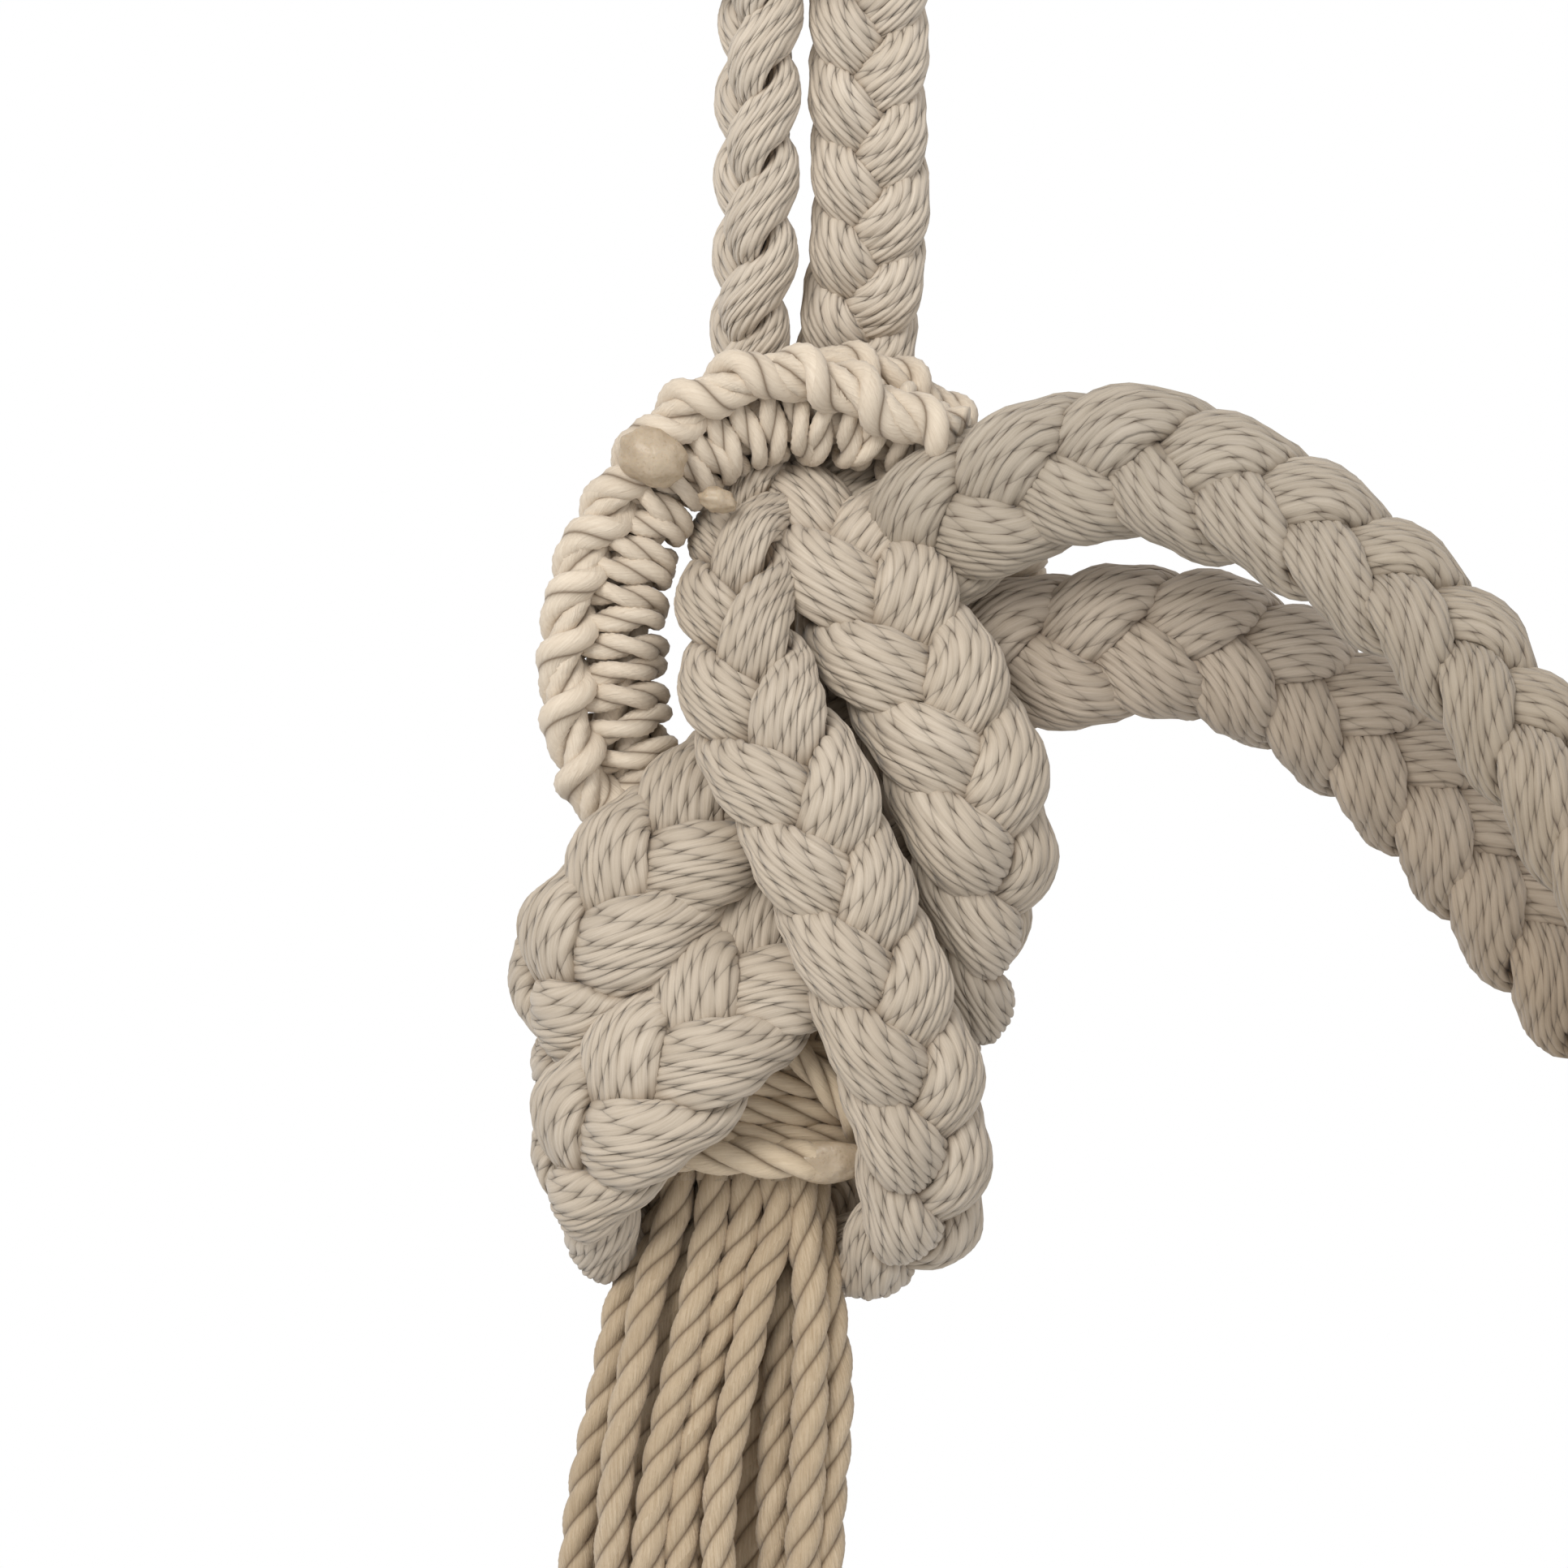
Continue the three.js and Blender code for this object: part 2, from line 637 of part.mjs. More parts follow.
function buildHanger(group) {
  addMesh(group, 'hanging_ring', ringGeometry(), material(STEEL, 0.3, 1));

  const hitchLength = 2 * CORD;
  const barRoom = RING_BAR / 2 + HITCH_SLACK;
  const ringHitch = wrapping(2, CORD, barRoom, barRoom).rotateY(Math.PI / 2);
  ringHitch.translate(0, 0, RING_BOTTOM_Z);
  addMesh(group, 'ring_hitch', ringHitch, material(CREAM, 0.9));

  const dowel = new THREE.CylinderGeometry(
    DOWEL_DIAMETER / 2, DOWEL_DIAMETER / 2, 2 * DOWEL_HALF_LENGTH, ROUND_SIDES,
  );
  dowel.rotateZ(Math.PI / 2);
  const dowelMesh = addMesh(group, 'dowel', dowel, material(OAK, 0.6));
  dowelMesh.position.z = DOWEL_Z;

  const dowelRoom = DOWEL_DIAMETER / 2 + GAP;
  const hitch = wrapping(HITCH_TURNS, CORD, dowelRoom, dowelRoom).rotateY(Math.PI / 2);
  const hitchTop = DOWEL_DIAMETER / 2 + CORD + 2 * GAP;
  for (const [side, sign] of [['left', -1], ['right', 1]]) {
    const knob = addMesh(group, `dowel_knob_${side}`, knobGeometry(), material(OAK, 0.6));
    knob.position.set(sign * (DOWEL_HALF_LENGTH - KNOB_SOCKET + GAP), 0, DOWEL_Z);
    knob.rotation.y = (sign * Math.PI) / 2;
    const turns = addMesh(group, `dowel_hitch_${side}`, hitch.clone(), material(CREAM, 0.9));
    turns.position.set(sign * DOWEL_HITCH_X, 0, DOWEL_Z);
    const topZ = RING_BOTTOM_Z - barRoom - CORD - CORD_LEG_GAP;
    const top = new THREE.Vector3(sign * hitchLength * 0.42, 0, topZ);
    const lowX = DOWEL_HITCH_X - CORD_LEG_GAP;
    const low = new THREE.Vector3(sign * lowX, 0, DOWEL_Z + hitchTop + CORD / 2);
    const line = new THREE.LineCurve3(top, low);
    const leg = swept(line, oval(CORD, CORD, CORD_SIDES), 3 * CORD);
    addMesh(group, `hanging_cord_${side}`, leg, material(CREAM, 0.9));
  }
}

// ---------- Assembly ----------

function buildPlanter() {
  const planter = new THREE.Group();
  buildHanger(planter);

  const left = new THREE.Group();
  const right = new THREE.Group();
  right.scale.x = -1;
  planter.add(left, right);
  const pieces = gatherPieces();
  buildSide(left, 'left', pieces);
  buildSide(right, 'right', pieces);

  const mirroredCutters = pieces.cutters.map((cutter) => cutter.mirror([1, 0, 0]));
  const cutters = [...pieces.cutters, ...mirroredCutters];
  const frontArm = braidPiece(wholeArm(FRONT_ARM), ARM_THICK, ARM_WIDE, 13);
  const backArm = braidPiece(wholeArm(BACK_ARM), ARM_THICK, ARM_WIDE, 13);
  const frontSolid = clearOf(frontArm.solid, cutters);
  const backSolid = clearOf(backArm.solid, [...cutters, frontArm.cutter]);
  addMesh(planter, 'front_arm', geometryFrom(frontSolid), material(CREAM, 0.9));
  addMesh(planter, 'back_arm', geometryFrom(backSolid), material(CREAM, 0.9));

  for (const [side, sign] of [['left', -1], ['right', 1]]) {
    const line = tieLine(sign * TIE_X, frontArm.line, backArm.line);
    const tie = swept(line, oval(CORD, CORD, CORD_SIDES), 9);
    addMesh(planter, `cradle_tie_${side}`, tie, material(CREAM, 0.9));
  }
  return planter;
}

export default buildPlanter();
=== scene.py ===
"""A hanging macrame planter: braided slings, hitched gather loops, wraps and tassels.

Lengths are millimetres in this script's own numbers and metres in Blender. Each knot is
described in its own frame: u to the right, y away from the viewer, w up.
"""

import math

import bpy
import numpy as np
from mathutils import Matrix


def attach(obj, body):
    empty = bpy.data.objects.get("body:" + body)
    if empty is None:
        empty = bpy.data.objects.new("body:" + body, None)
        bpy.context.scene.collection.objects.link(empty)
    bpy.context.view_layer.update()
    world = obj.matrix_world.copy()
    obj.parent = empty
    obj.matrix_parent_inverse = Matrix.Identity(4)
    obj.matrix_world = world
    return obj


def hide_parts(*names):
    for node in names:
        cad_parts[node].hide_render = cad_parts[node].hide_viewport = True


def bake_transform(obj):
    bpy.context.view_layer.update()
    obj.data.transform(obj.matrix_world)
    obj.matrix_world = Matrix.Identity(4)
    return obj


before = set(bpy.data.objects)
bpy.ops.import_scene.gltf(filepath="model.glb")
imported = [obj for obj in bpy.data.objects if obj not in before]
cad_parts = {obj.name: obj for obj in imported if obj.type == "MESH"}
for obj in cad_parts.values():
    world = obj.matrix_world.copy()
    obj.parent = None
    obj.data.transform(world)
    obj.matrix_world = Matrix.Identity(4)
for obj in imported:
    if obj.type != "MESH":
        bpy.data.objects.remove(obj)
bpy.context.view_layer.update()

MM = 0.001
TAU = 2 * math.pi
SIDES = (("left", False), ("right", True))
COARSE_STEP = 2.0  # between the rings of a tube that is hidden or only seen from afar

# ---------- Driving sizes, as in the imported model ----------

GATHER_X = -188.5
GATHER_Z = -410.0
DOWEL_Z = -200.0
RING_BOTTOM_Z = -41.0
CORD = 6.0
FINE_CORD = 4.5

STRAP_WIDE = 19.0
KNOT_WIDE = 22.5
ARM_WIDE = 25.0

NECK_U = -4.5
NECK_Y = 3.0

# ---------- Fibre, seen only in the visual model ----------

CORD_LAY = 3.1  # a cord's pitch, in cord diameters
PLY_OFFSET = 0.225  # from a cord's middle to a ply's middle, in cord diameters
PLY_MARKS = 3.9  # between the marks that a yarn's own plies make along it
MARK_SLANT = 0.6  # of a mark's spacing, across one yarn
YARN_STAGGER = 0.618  # of a mark's spacing, from one yarn to the next
STRAND_STAGGER = 0.371

# A braid's strands, in braid widths.
STRAND_SWING = 0.31  # to each side of the middle
STRAND_RISE = 0.158  # over and under the other strands
FLAT_HALF_WIDE = 0.268  # where a strand crosses the middle
FLAT_HALF_THICK = 0.152
EDGE_HALF_WIDE = 0.235  # where it turns round the edge
EDGE_HALF_THICK = 0.186
EDGE_SHARE = 0.72  # of the swing, past which a strand is turning
SURFACE_REACH = 0.56  # of the braid's outline, sideways and upwards
SURFACE_RISE = 0.32
SHADE_FADE_EDGE = 0.46  # from the middle, where the painted crevice shade has faded out
YARNS = 20


# ---------- Curves ----------


def in_gather(u, y, w):
    """A point of the left knot's frame in the row frame, in millimetres."""
    return np.array([GATHER_X + u, y, GATHER_Z + w])


def unit(vectors):
    return vectors / np.linalg.norm(vectors, axis=-1, keepdims=True)


def through(points, per_span=24):
    """A centripetal Catmull-Rom curve through rows of numbers; the first three are a place."""
    p = np.asarray(points, dtype=float)
    p = np.vstack([2 * p[0] - p[1], p, 2 * p[-1] - p[-2]])
    rows = []
    for i in range(1, len(p) - 2):
        chord = [np.linalg.norm(p[i + k, :3] - p[i + k - 1, :3]) ** 0.5 for k in (0, 1, 2)]
        t0, t1 = 0.0, chord[0]
        t2 = t1 + chord[1]
        t3 = t2 + chord[2]
        t = np.linspace(t1, t2, per_span, endpoint=False)[:, None]
        a1 = (t1 - t) / (t1 - t0) * p[i - 1] + (t - t0) / (t1 - t0) * p[i]
        a2 = (t2 - t) / (t2 - t1) * p[i] + (t - t1) / (t2 - t1) * p[i + 1]
        a3 = (t3 - t) / (t3 - t2) * p[i + 1] + (t - t2) / (t3 - t2) * p[i + 2]
        b1 = (t2 - t) / (t2 - t0) * a1 + (t - t0) / (t2 - t0) * a2
        b2 = (t3 - t) / (t3 - t1) * a2 + (t - t1) / (t3 - t1) * a3
        rows.append((t2 - t) / (t2 - t1) * b1 + (t - t1) / (t2 - t1) * b2)
    rows.append(p[-2][None, :])
    return np.vstack(rows)


def spaced(rows, step):
    """The same curve at even steps along it, and the distance along it of each row."""
    along = np.r_[0, np.cumsum(np.linalg.norm(np.diff(rows[:, :3], axis=0), axis=1))]
    count = max(3, int(round(along[-1] / step)) + 1)
    places = np.linspace(0, along[-1], count)
    even = np.column_stack([np.interp(places, along, column) for column in rows.T])
    return even, places


def smoothed(rows, reach):
    """Rows averaged with their neighbours, the two end rows kept."""
    if reach < 1:
        return rows
    kernel = np.hanning(2 * reach + 3)[1:-1]
    kernel /= kernel.sum()
    padded = np.vstack([np.repeat(rows[:1], reach, 0), rows, np.repeat(rows[-1:], reach, 0)])
    return np.column_stack([np.convolve(column, kernel, "valid") for column in padded.T])


def still_frame(points, start):
    """Tangents and two side directions that don't twist along the curve."""
    tangents = unit(np.gradient(points, axis=0))
    sides = np.empty_like(points)
    side = start - tangents[0] * np.dot(start, tangents[0])
    for i, tangent in enumerate(tangents):
        side = side - tangent * np.dot(side, tangent)
        side = side / np.linalg.norm(side)
        sides[i] = side
    return tangents, sides, np.cross(tangents, sides)


# ---------- Meshes ----------


class Pieces:
    """Closed tubes gathered into one mesh. Each corner holds the distance along its cord,
    the place across it counted in yarns or plies, and the cord's own number."""

    def __init__(self):
        self.points, self.faces, self.lay, self.buried = [], [], [], []
        self.count = 0

    def tube(self, rings, along, across, number, buried=0.0):
        """rings[i, j] are points, along[i] distances, across[j] places with one more at the end,
        and buried[i, j] is how far a point lies under the strands around it."""
        n, m = rings.shape[:2]
        self.buried.append(np.r_[np.broadcast_to(buried, (n, m)).ravel(), 1.0, 1.0])
        base = self.count
        index = base + np.arange(n * m).reshape(n, m)
        after = np.roll(index, -1, axis=1)
        quads = np.stack([index[:-1], after[:-1], after[1:], index[1:]], axis=-1).reshape(-1, 4)
        low = np.broadcast_to(along[:-1, None], (n - 1, m))
        high = np.broadcast_to(along[1:, None], (n - 1, m))
        left = np.broadcast_to(across[None, :-1], (n - 1, m))
        right = np.broadcast_to(across[None, 1:], (n - 1, m))
        corner = np.stack([
            np.stack([low, left], -1), np.stack([low, right], -1),
            np.stack([high, right], -1), np.stack([high, left], -1),
        ], axis=2).reshape(-1, 4, 2)
        self.points.append(rings.reshape(-1, 3))
        self.points.append(np.array([rings[0].mean(0), rings[-1].mean(0)]))
        self.faces.append(quads)
        self.lay.append(np.dstack([corner, np.full(corner.shape[:2], float(number))]))
        for row, centre, place in ((0, base + n * m, along[0]), (-1, base + n * m + 1, along[-1])):
            ring, beyond = index[row], after[row]
            first, second = (beyond, ring) if row == 0 else (ring, beyond)
            middle = np.full(m, centre)
            self.faces.append(np.stack([first, second, middle], axis=-1))
            a, b = (across[1:], across[:-1]) if row == 0 else (across[:-1], across[1:])
            cap = np.stack([a, b, (a + b) / 2], axis=-1)
            full = np.stack([np.full(cap.shape, place), cap, np.full(cap.shape, float(number))], -1)
            self.lay.append(full)
        self.count += n * m + 2

    def object(self, name, material, mirrored=False):
        points = np.vstack(self.points) * MM
        if mirrored:
            points = points * [-1, 1, 1]
        sizes, corners, lay = [], [], []
        for faces, values in zip(self.faces, self.lay):
            if mirrored:
                faces, values = faces[:, ::-1], values[:, ::-1]
            sizes.append(np.full(len(faces), faces.shape[1]))
            corners.append(faces.ravel())
            lay.append(values.reshape(-1, 3))
        sizes = np.concatenate(sizes)
        corners = np.concatenate(corners)
        mesh = bpy.data.meshes.new(name)
        mesh.vertices.add(len(points))
        mesh.vertices.foreach_set("co", points.ravel())
        mesh.loops.add(len(corners))
        mesh.loops.foreach_set("vertex_index", corners.astype(np.int32))
        mesh.polygons.add(len(sizes))
        starts = np.r_[0, np.cumsum(sizes)[:-1]].astype(np.int32)
        mesh.polygons.foreach_set("loop_start", starts)
        mesh.update(calc_edges=True)
        layer = mesh.attributes.new("lay", "FLOAT_VECTOR", "CORNER")
        layer.data.foreach_set("vector", np.vstack(lay).ravel())
        depth = mesh.attributes.new("buried", "FLOAT", "POINT")
        depth.data.foreach_set("value", np.concatenate(self.buried).astype(np.float32))
        mesh.shade_smooth()
        mesh.materials.append(material)
        piece = bpy.data.objects.new(name, mesh)
        bpy.context.scene.collection.objects.link(piece)
        return piece


# ---------- Cords and braids ----------


def rope(pieces, points, diameter, number, pitch=None, step=1.3, plies=3, sides=8, turn=0.0, taper=0,
         hand=1, lobes=PLY_OFFSET):
    """A cord of twisted plies as one closed tube whose section is the plies' outline."""
    rows, along = spaced(np.asarray(points, dtype=float), step)
    side, other = still_frame(rows, np.array([0.31, -0.9, 0.3]))[1:]
    pitch = pitch or CORD_LAY * diameter
    offset = diameter * lobes
    ply_radius = diameter / 2 - offset
    angles = np.linspace(0, TAU, plies * sides, endpoint=False)
    near = (angles + math.pi / plies) % (TAU / plies) - math.pi / plies
    inside = np.maximum(ply_radius**2 - (offset * np.sin(near)) ** 2, 0)
    outline = offset * np.cos(near) + np.sqrt(inside)
    twist = turn + hand * TAU * along / pitch
    spin = angles[None, :] + twist[:, None]
    radius = outline[None, :] * np.ones(len(rows))[:, None]
    if taper:
        start = np.clip(along / taper, 0.0, 1.0)
        end = np.clip((along[-1] - along) / taper, 0.0, 1.0)
        radius = radius * (0.25 + 0.75 * np.sqrt(np.minimum(start, end)))[:, None]
    rings = rows[:, None, :] + radius[..., None] * (
        np.cos(spin)[..., None] * side[:, None, :] + np.sin(spin)[..., None] * other[:, None, :]
    )
    across = hand * (np.arange(plies * sides + 1) / sides + 0.5)
    pieces.tube(rings, along, across, number)
    return rows


def yarn_angles(per_yarn):
    """Angles round a strand's middle that are evenly spaced along its outline."""
    fine = np.linspace(0, TAU, 2001)
    outline = np.column_stack([FLAT_HALF_THICK * np.cos(fine), FLAT_HALF_WIDE * np.sin(fine)])
    run = np.r_[0, np.cumsum(np.linalg.norm(np.diff(outline, axis=0), axis=1))]
    places = np.arange(YARNS * per_yarn) / (YARNS * per_yarn) * run[-1]
    at = np.interp(places, run, fine)
    return np.unwrap(np.arctan2(FLAT_HALF_WIDE * np.sin(at), FLAT_HALF_THICK * np.cos(at)))


def fineness(mirrored, step):
    """How a braid is meshed and which way its yarns turn. The right side is meshed coarsely."""
    if mirrored:
        return {"step": COARSE_STEP, "per_yarn": 4, "hand": -1}
    return {"step": step, "per_yarn": 5, "hand": 1}


def strand_path(line, wide, thick, turn, wander):
    """A strand's middle line, and the two directions that its section is drawn along."""
    places, facing, sideways = line
    shift = wide * (STRAND_SWING * np.sin(turn) + wander)
    depth = -wide * thick * STRAND_RISE * np.sin(2 * turn)
    centre = places + sideways * shift[:, None] + facing * depth[:, None]
    way = unit(np.gradient(centre, axis=0))
    out = unit(facing - way * np.sum(facing * way, axis=1, keepdims=True))
    return centre, out, np.cross(way, out)


def strand_radius(angle, wide, thick, turn):
    """A strand's oval section: flat where it crosses the braid, rounder where it turns back."""
    edge = np.clip((np.abs(np.sin(turn)) - EDGE_SHARE) / (1 - EDGE_SHARE), 0, 1)[:, None]
    edge = edge * edge * (3 - 2 * edge)
    half_wide = wide * (FLAT_HALF_WIDE + (EDGE_HALF_WIDE - FLAT_HALF_WIDE) * edge)
    half_thick = wide * thick * (FLAT_HALF_THICK + (EDGE_HALF_THICK - FLAT_HALF_THICK) * edge)
    flat = np.cos(turn) / np.sqrt(np.cos(turn) ** 2 + 0.12)
    lean = (-math.pi / 2 + math.pi / 2 * flat)[:, None]
    return 1 / np.sqrt((np.cos(angle - lean) / half_thick) ** 2 + (np.sin(angle - lean) / half_wide) ** 2)


def buried_share(rings, line, wide, thick):
    """From 0 on a braid's outer surface to 1 in its middle, where strands lie under others. The yarn
    materials darken by it as painted shade.
    """
    places, facing, sideways = line
    wide = wide[:, None]
    rise = np.abs(np.sum((rings - places[:, None, :]) * facing[:, None, :], axis=2))
    sidelong = np.sum((rings - places[:, None, :]) * sideways[:, None, :], axis=2)
    surface = np.sqrt(np.clip(1 - (sidelong / (SURFACE_REACH * wide)) ** 2, 0.05, 1))
    buried = np.clip(1 - rise / (SURFACE_RISE * thick * wide * surface), 0, 1)
    return buried * np.clip((SHADE_FADE_EDGE - np.abs(sidelong) / wide) / 0.1, 0, 1)


def braid(pieces, stations, widths, pitches, phase, number, seed, step, per_yarn=5, hand=1, thick=1.0):
    """A flat three-strand braid. A station is [x, y, z, facing x, y, z]; widths and pitches
    are [(distance, value)] along it. Each strand is a bundle of yarns, and one closed tube."""
    rng = np.random.default_rng(seed)
    rows, along = spaced(through(stations), step)
    places = smoothed(rows[:, :3], int(3 / step))
    facing = smoothed(rows[:, 3:6], int(6 / step))
    tangents = unit(np.gradient(places, axis=0))
    facing = unit(facing - tangents * np.sum(facing * tangents, axis=1, keepdims=True))
    line = (places, facing, np.cross(tangents, facing))
    wide = np.interp(along, *np.array(widths).T)
    pitch = np.interp(along, *np.array(pitches).T)
    advance = TAU * np.r_[0, np.cumsum((along[1:] - along[:-1]) / pitch[1:])] + phase
    spots = np.linspace(0, along[-1], max(4, int(along[-1] / 16)))

    def wandering(low, high):
        return np.interp(along, spots, rng.uniform(low, high, len(spots)))

    def along_yarns(low, high):
        """A number that wanders along each yarn, for every place on a strand."""
        columns = [wandering(low, high) for _ in range(YARNS)]
        return np.repeat(np.array(columns), per_yarn, axis=0).T

    # Each place round a strand, as a yarn's number and a fraction across that yarn.
    angles = yarn_angles(per_yarn)
    cell, fraction = np.divmod(np.arange(YARNS * per_yarn), per_yarn)
    fraction = fraction / per_yarn
    if hand < 0:
        cell, fraction = -1 - cell, 1 - fraction
    crown = np.sin(math.pi * fraction) ** 0.7
    across = hand * np.arange(YARNS * per_yarn + 1) / per_yarn
    for strand in range(3):
        turn = advance + strand * TAU / 3
        centre, out, over = strand_path(line, wide, thick, turn, wandering(-0.022, 0.022))
        swelled = (wide * wandering(0.95, 1.06))[:, None]
        angle = angles[None, :] + 0.35 * np.sin(turn + 1.0)[:, None] + along_yarns(-0.05, 0.05)
        radius = strand_radius(angle, swelled, thick, turn)
        height = np.repeat(rng.uniform(0.8, 1.2, YARNS), per_yarn)
        drift = along_yarns(-0.14, 0.16)
        own = cell * YARN_STAGGER + (number + strand) * STRAND_STAGGER - MARK_SLANT * fraction
        ply = np.abs(np.sin(math.pi * (along[:, None] / PLY_MARKS + own)))
        groove = (1 - crown) * (0.05 + 0.4 * (1 - ply**2)) * height
        radius = radius - groove + 0.14 * ply * crown + drift * crown
        rings = centre[:, None, :] + radius[..., None] * (
            np.cos(angle)[..., None] * out[:, None, :] + np.sin(angle)[..., None] * over[:, None, :]
        )
        pieces.tube(rings, along, across, number + strand, buried_share(rings, line, wide, thick))
    return places


# ---------- Materials ----------


def node(tree, kind, **values):
    made = tree.nodes.new(kind)
    for key, value in values.items():
        setattr(made, key, value)
    return made


class Sums:
    """Short helpers for a material's arithmetic."""

    def __init__(self, tree):
        self.tree = tree

    def feed(self, socket, value):
        """A number or a colour is set on the socket, and an output is linked to it."""
        if isinstance(value, tuple):
            socket.default_value = (*value, 1)
        elif isinstance(value, (int, float)):
            socket.default_value = value
        else:
            self.tree.links.new(value, socket)

    def math(self, operation, a, b=None, c=None, clamp=False):
        made = node(self.tree, "ShaderNodeMath", operation=operation, use_clamp=clamp)
        for socket, value in zip(made.inputs, (a, b, c)):
            if value is not None:
                self.feed(socket, value)
        return made.outputs[0]

    def times(self, a, b, clamp=False):
        return self.math("MULTIPLY", a, b, clamp=clamp)

    def scaled(self, a, b, c, clamp=False):
        """a b + c."""
        return self.math("MULTIPLY_ADD", a, b, c, clamp)

    def mix(self, factor, a, b):
        made = node(self.tree, "ShaderNodeMix", data_type="RGBA")
        for place, value in ((0, factor), (6, a), (7, b)):
            self.feed(made.inputs[place], value)
        return made.outputs[2]

    def multiplied(self, factor, a, b):
        result = self.mix(factor, a, b)
        result.node.blend_type = "MULTIPLY"
        return result

    def vector(self, x, y, z):
        made = node(self.tree, "ShaderNodeCombineXYZ")
        for socket, value in zip(made.inputs, (x, y, z)):
            self.feed(socket, value)
        return made.outputs[0]

    def split(self, vector):
        made = node(self.tree, "ShaderNodeSeparateXYZ")
        self.tree.links.new(vector, made.inputs[0])
        return made.outputs

    def place(self):
        return node(self.tree, "ShaderNodeTexCoord").outputs["Object"]

    def noise(self, vector, scale, detail=2.0, roughness=0.5):
        made = node(self.tree, "ShaderNodeTexNoise")
        self.tree.links.new(vector, made.inputs["Vector"])
        made.inputs["Scale"].default_value = scale
        made.inputs["Detail"].default_value = detail
        made.inputs["Roughness"].default_value = roughness
        return made.outputs["Fac"]

    def bump(self, shader, height, distance, strength=1.0):
        made = node(self.tree, "ShaderNodeBump")
        made.inputs["Strength"].default_value = strength
        made.inputs["Distance"].default_value = distance
        self.tree.links.new(height, made.inputs["Height"])
        self.tree.links.new(made.outputs[0], shader.inputs["Normal"])


def new_material(name, roughness, sheen=0.0):
    made = bpy.data.materials.new(name)
    made.use_nodes = True
    shader = made.node_tree.nodes["Principled BSDF"]
    shader.inputs["Roughness"].default_value = roughness
    shader.inputs["Sheen Weight"].default_value = sheen
    return made, made.node_tree, shader


PAINTED_CREVICE_SHADE = (0.36, 0.28, 0.20)  # painted shade, multiplied in where strands dip under others


def cord_material(name, light, mid, dark, fibre_run, marks, fibre_depth, stains_and_shade=()):
    """Twisted fibre: creases between yarns or plies darkened as painted shade, fine fibres along them,
    and, where marks is set, the slanting marks of each yarn's own plies, darkened as painted shade and
    bumped. Each entry of the last argument (height, reach, amount, colour), real stain and painted
    shade alike, multiplies the colour in, blotchily, below that height in metres."""
    made, tree, shader = new_material(name, 0.75, 0.2)
    shader.inputs["Specular IOR Level"].default_value = 0.35
    shader.inputs["Sheen Roughness"].default_value = 0.45
    s = Sums(tree)
    lay = node(tree, "ShaderNodeAttribute", attribute_name="lay")
    along, across, number = s.split(lay.outputs["Vector"])
    fraction = s.math("FRACT", across)
    cell = s.math("FLOOR", across)
    own = node(tree, "ShaderNodeTexWhiteNoise", noise_dimensions="2D")
    tree.links.new(s.vector(cell, number, 0.0), own.inputs["Vector"])
    tone = own.outputs["Value"]
    stagger = s.scaled(cell, YARN_STAGGER, s.times(number, STRAND_STAGGER))
    crown = s.math("ABSOLUTE", s.math("SINE", s.times(fraction, math.pi)))
    fine = 6.0 if marks else 15.0
    slant = s.times(across, fine)
    if fibre_run:
        slant = s.scaled(along, fine / fibre_run, slant)
    streak = s.noise(s.vector(s.times(along, 0.2), slant, number), 1.0, 4.0, 0.7)
    patch = s.noise(s.vector(s.times(along, 0.03), s.times(across, 0.12), number), 1.0)
    body = s.mix(s.scaled(streak, 2.8, -0.9, clamp=True), mid, light)
    body = s.mix(s.scaled(patch, 1.2, -0.45, clamp=True), body, mid)
    body = s.mix(s.times(tone, 0.16), body, dark)
    where = s.place()
    level = s.split(where)[2]
    blotch = s.noise(where, 42.0, 3.0, 0.6)
    # Real stains and painted shade both darken the colour here, below each entry's height.
    for height_from, reach, amount, colour in stains_and_shade:
        depth = s.math("DIVIDE", s.math("SUBTRACT", height_from, level), reach, clamp=True)
        patchy = s.times(depth, s.scaled(blotch, 1.3, 0.35))
        body = s.multiplied(s.times(patchy, amount, clamp=True), body, colour)
    # Painted shade: the creases between yarns and plies are mixed towards the dark colour.
    shade = s.math("POWER", s.math("SUBTRACT", 1.0, crown), 3.2 if marks else 4.0)
    height = s.times(streak, fibre_depth)
    if marks:
        place = s.scaled(along, 1 / PLY_MARKS, stagger)
        turns = s.scaled(fraction, -MARK_SLANT, place)
        ply = s.math("ABSOLUTE", s.math("SINE", s.times(turns, math.pi)))
        # Painted shade: the creases fade where a yarn's plies crown, and dark dashes mark where they meet.
        gap = s.math("SUBTRACT", 1.12, ply)
        shade = s.times(shade, gap)
        dash = s.math("POWER", s.math("SUBTRACT", 1.0, ply), 3.0)
        shade = s.scaled(dash, 0.17, shade, clamp=True)
        height = s.scaled(s.math("POWER", ply, 0.5), marks, height)
    body = s.mix(s.times(shade, 0.95, clamp=True), body, dark)
    # Painted shade in the crevices where strands lie under others.
    buried = node(tree, "ShaderNodeAttribute", attribute_name="buried").outputs["Fac"]
    crevice_shade_mask = s.scaled(buried, 2.2, -0.7, clamp=True)
    body = s.multiplied(s.times(crevice_shade_mask, 0.9), body, PAINTED_CREVICE_SHADE)
    tree.links.new(body, shader.inputs["Base Color"])
    s.bump(shader, height, 0.001)
    return made


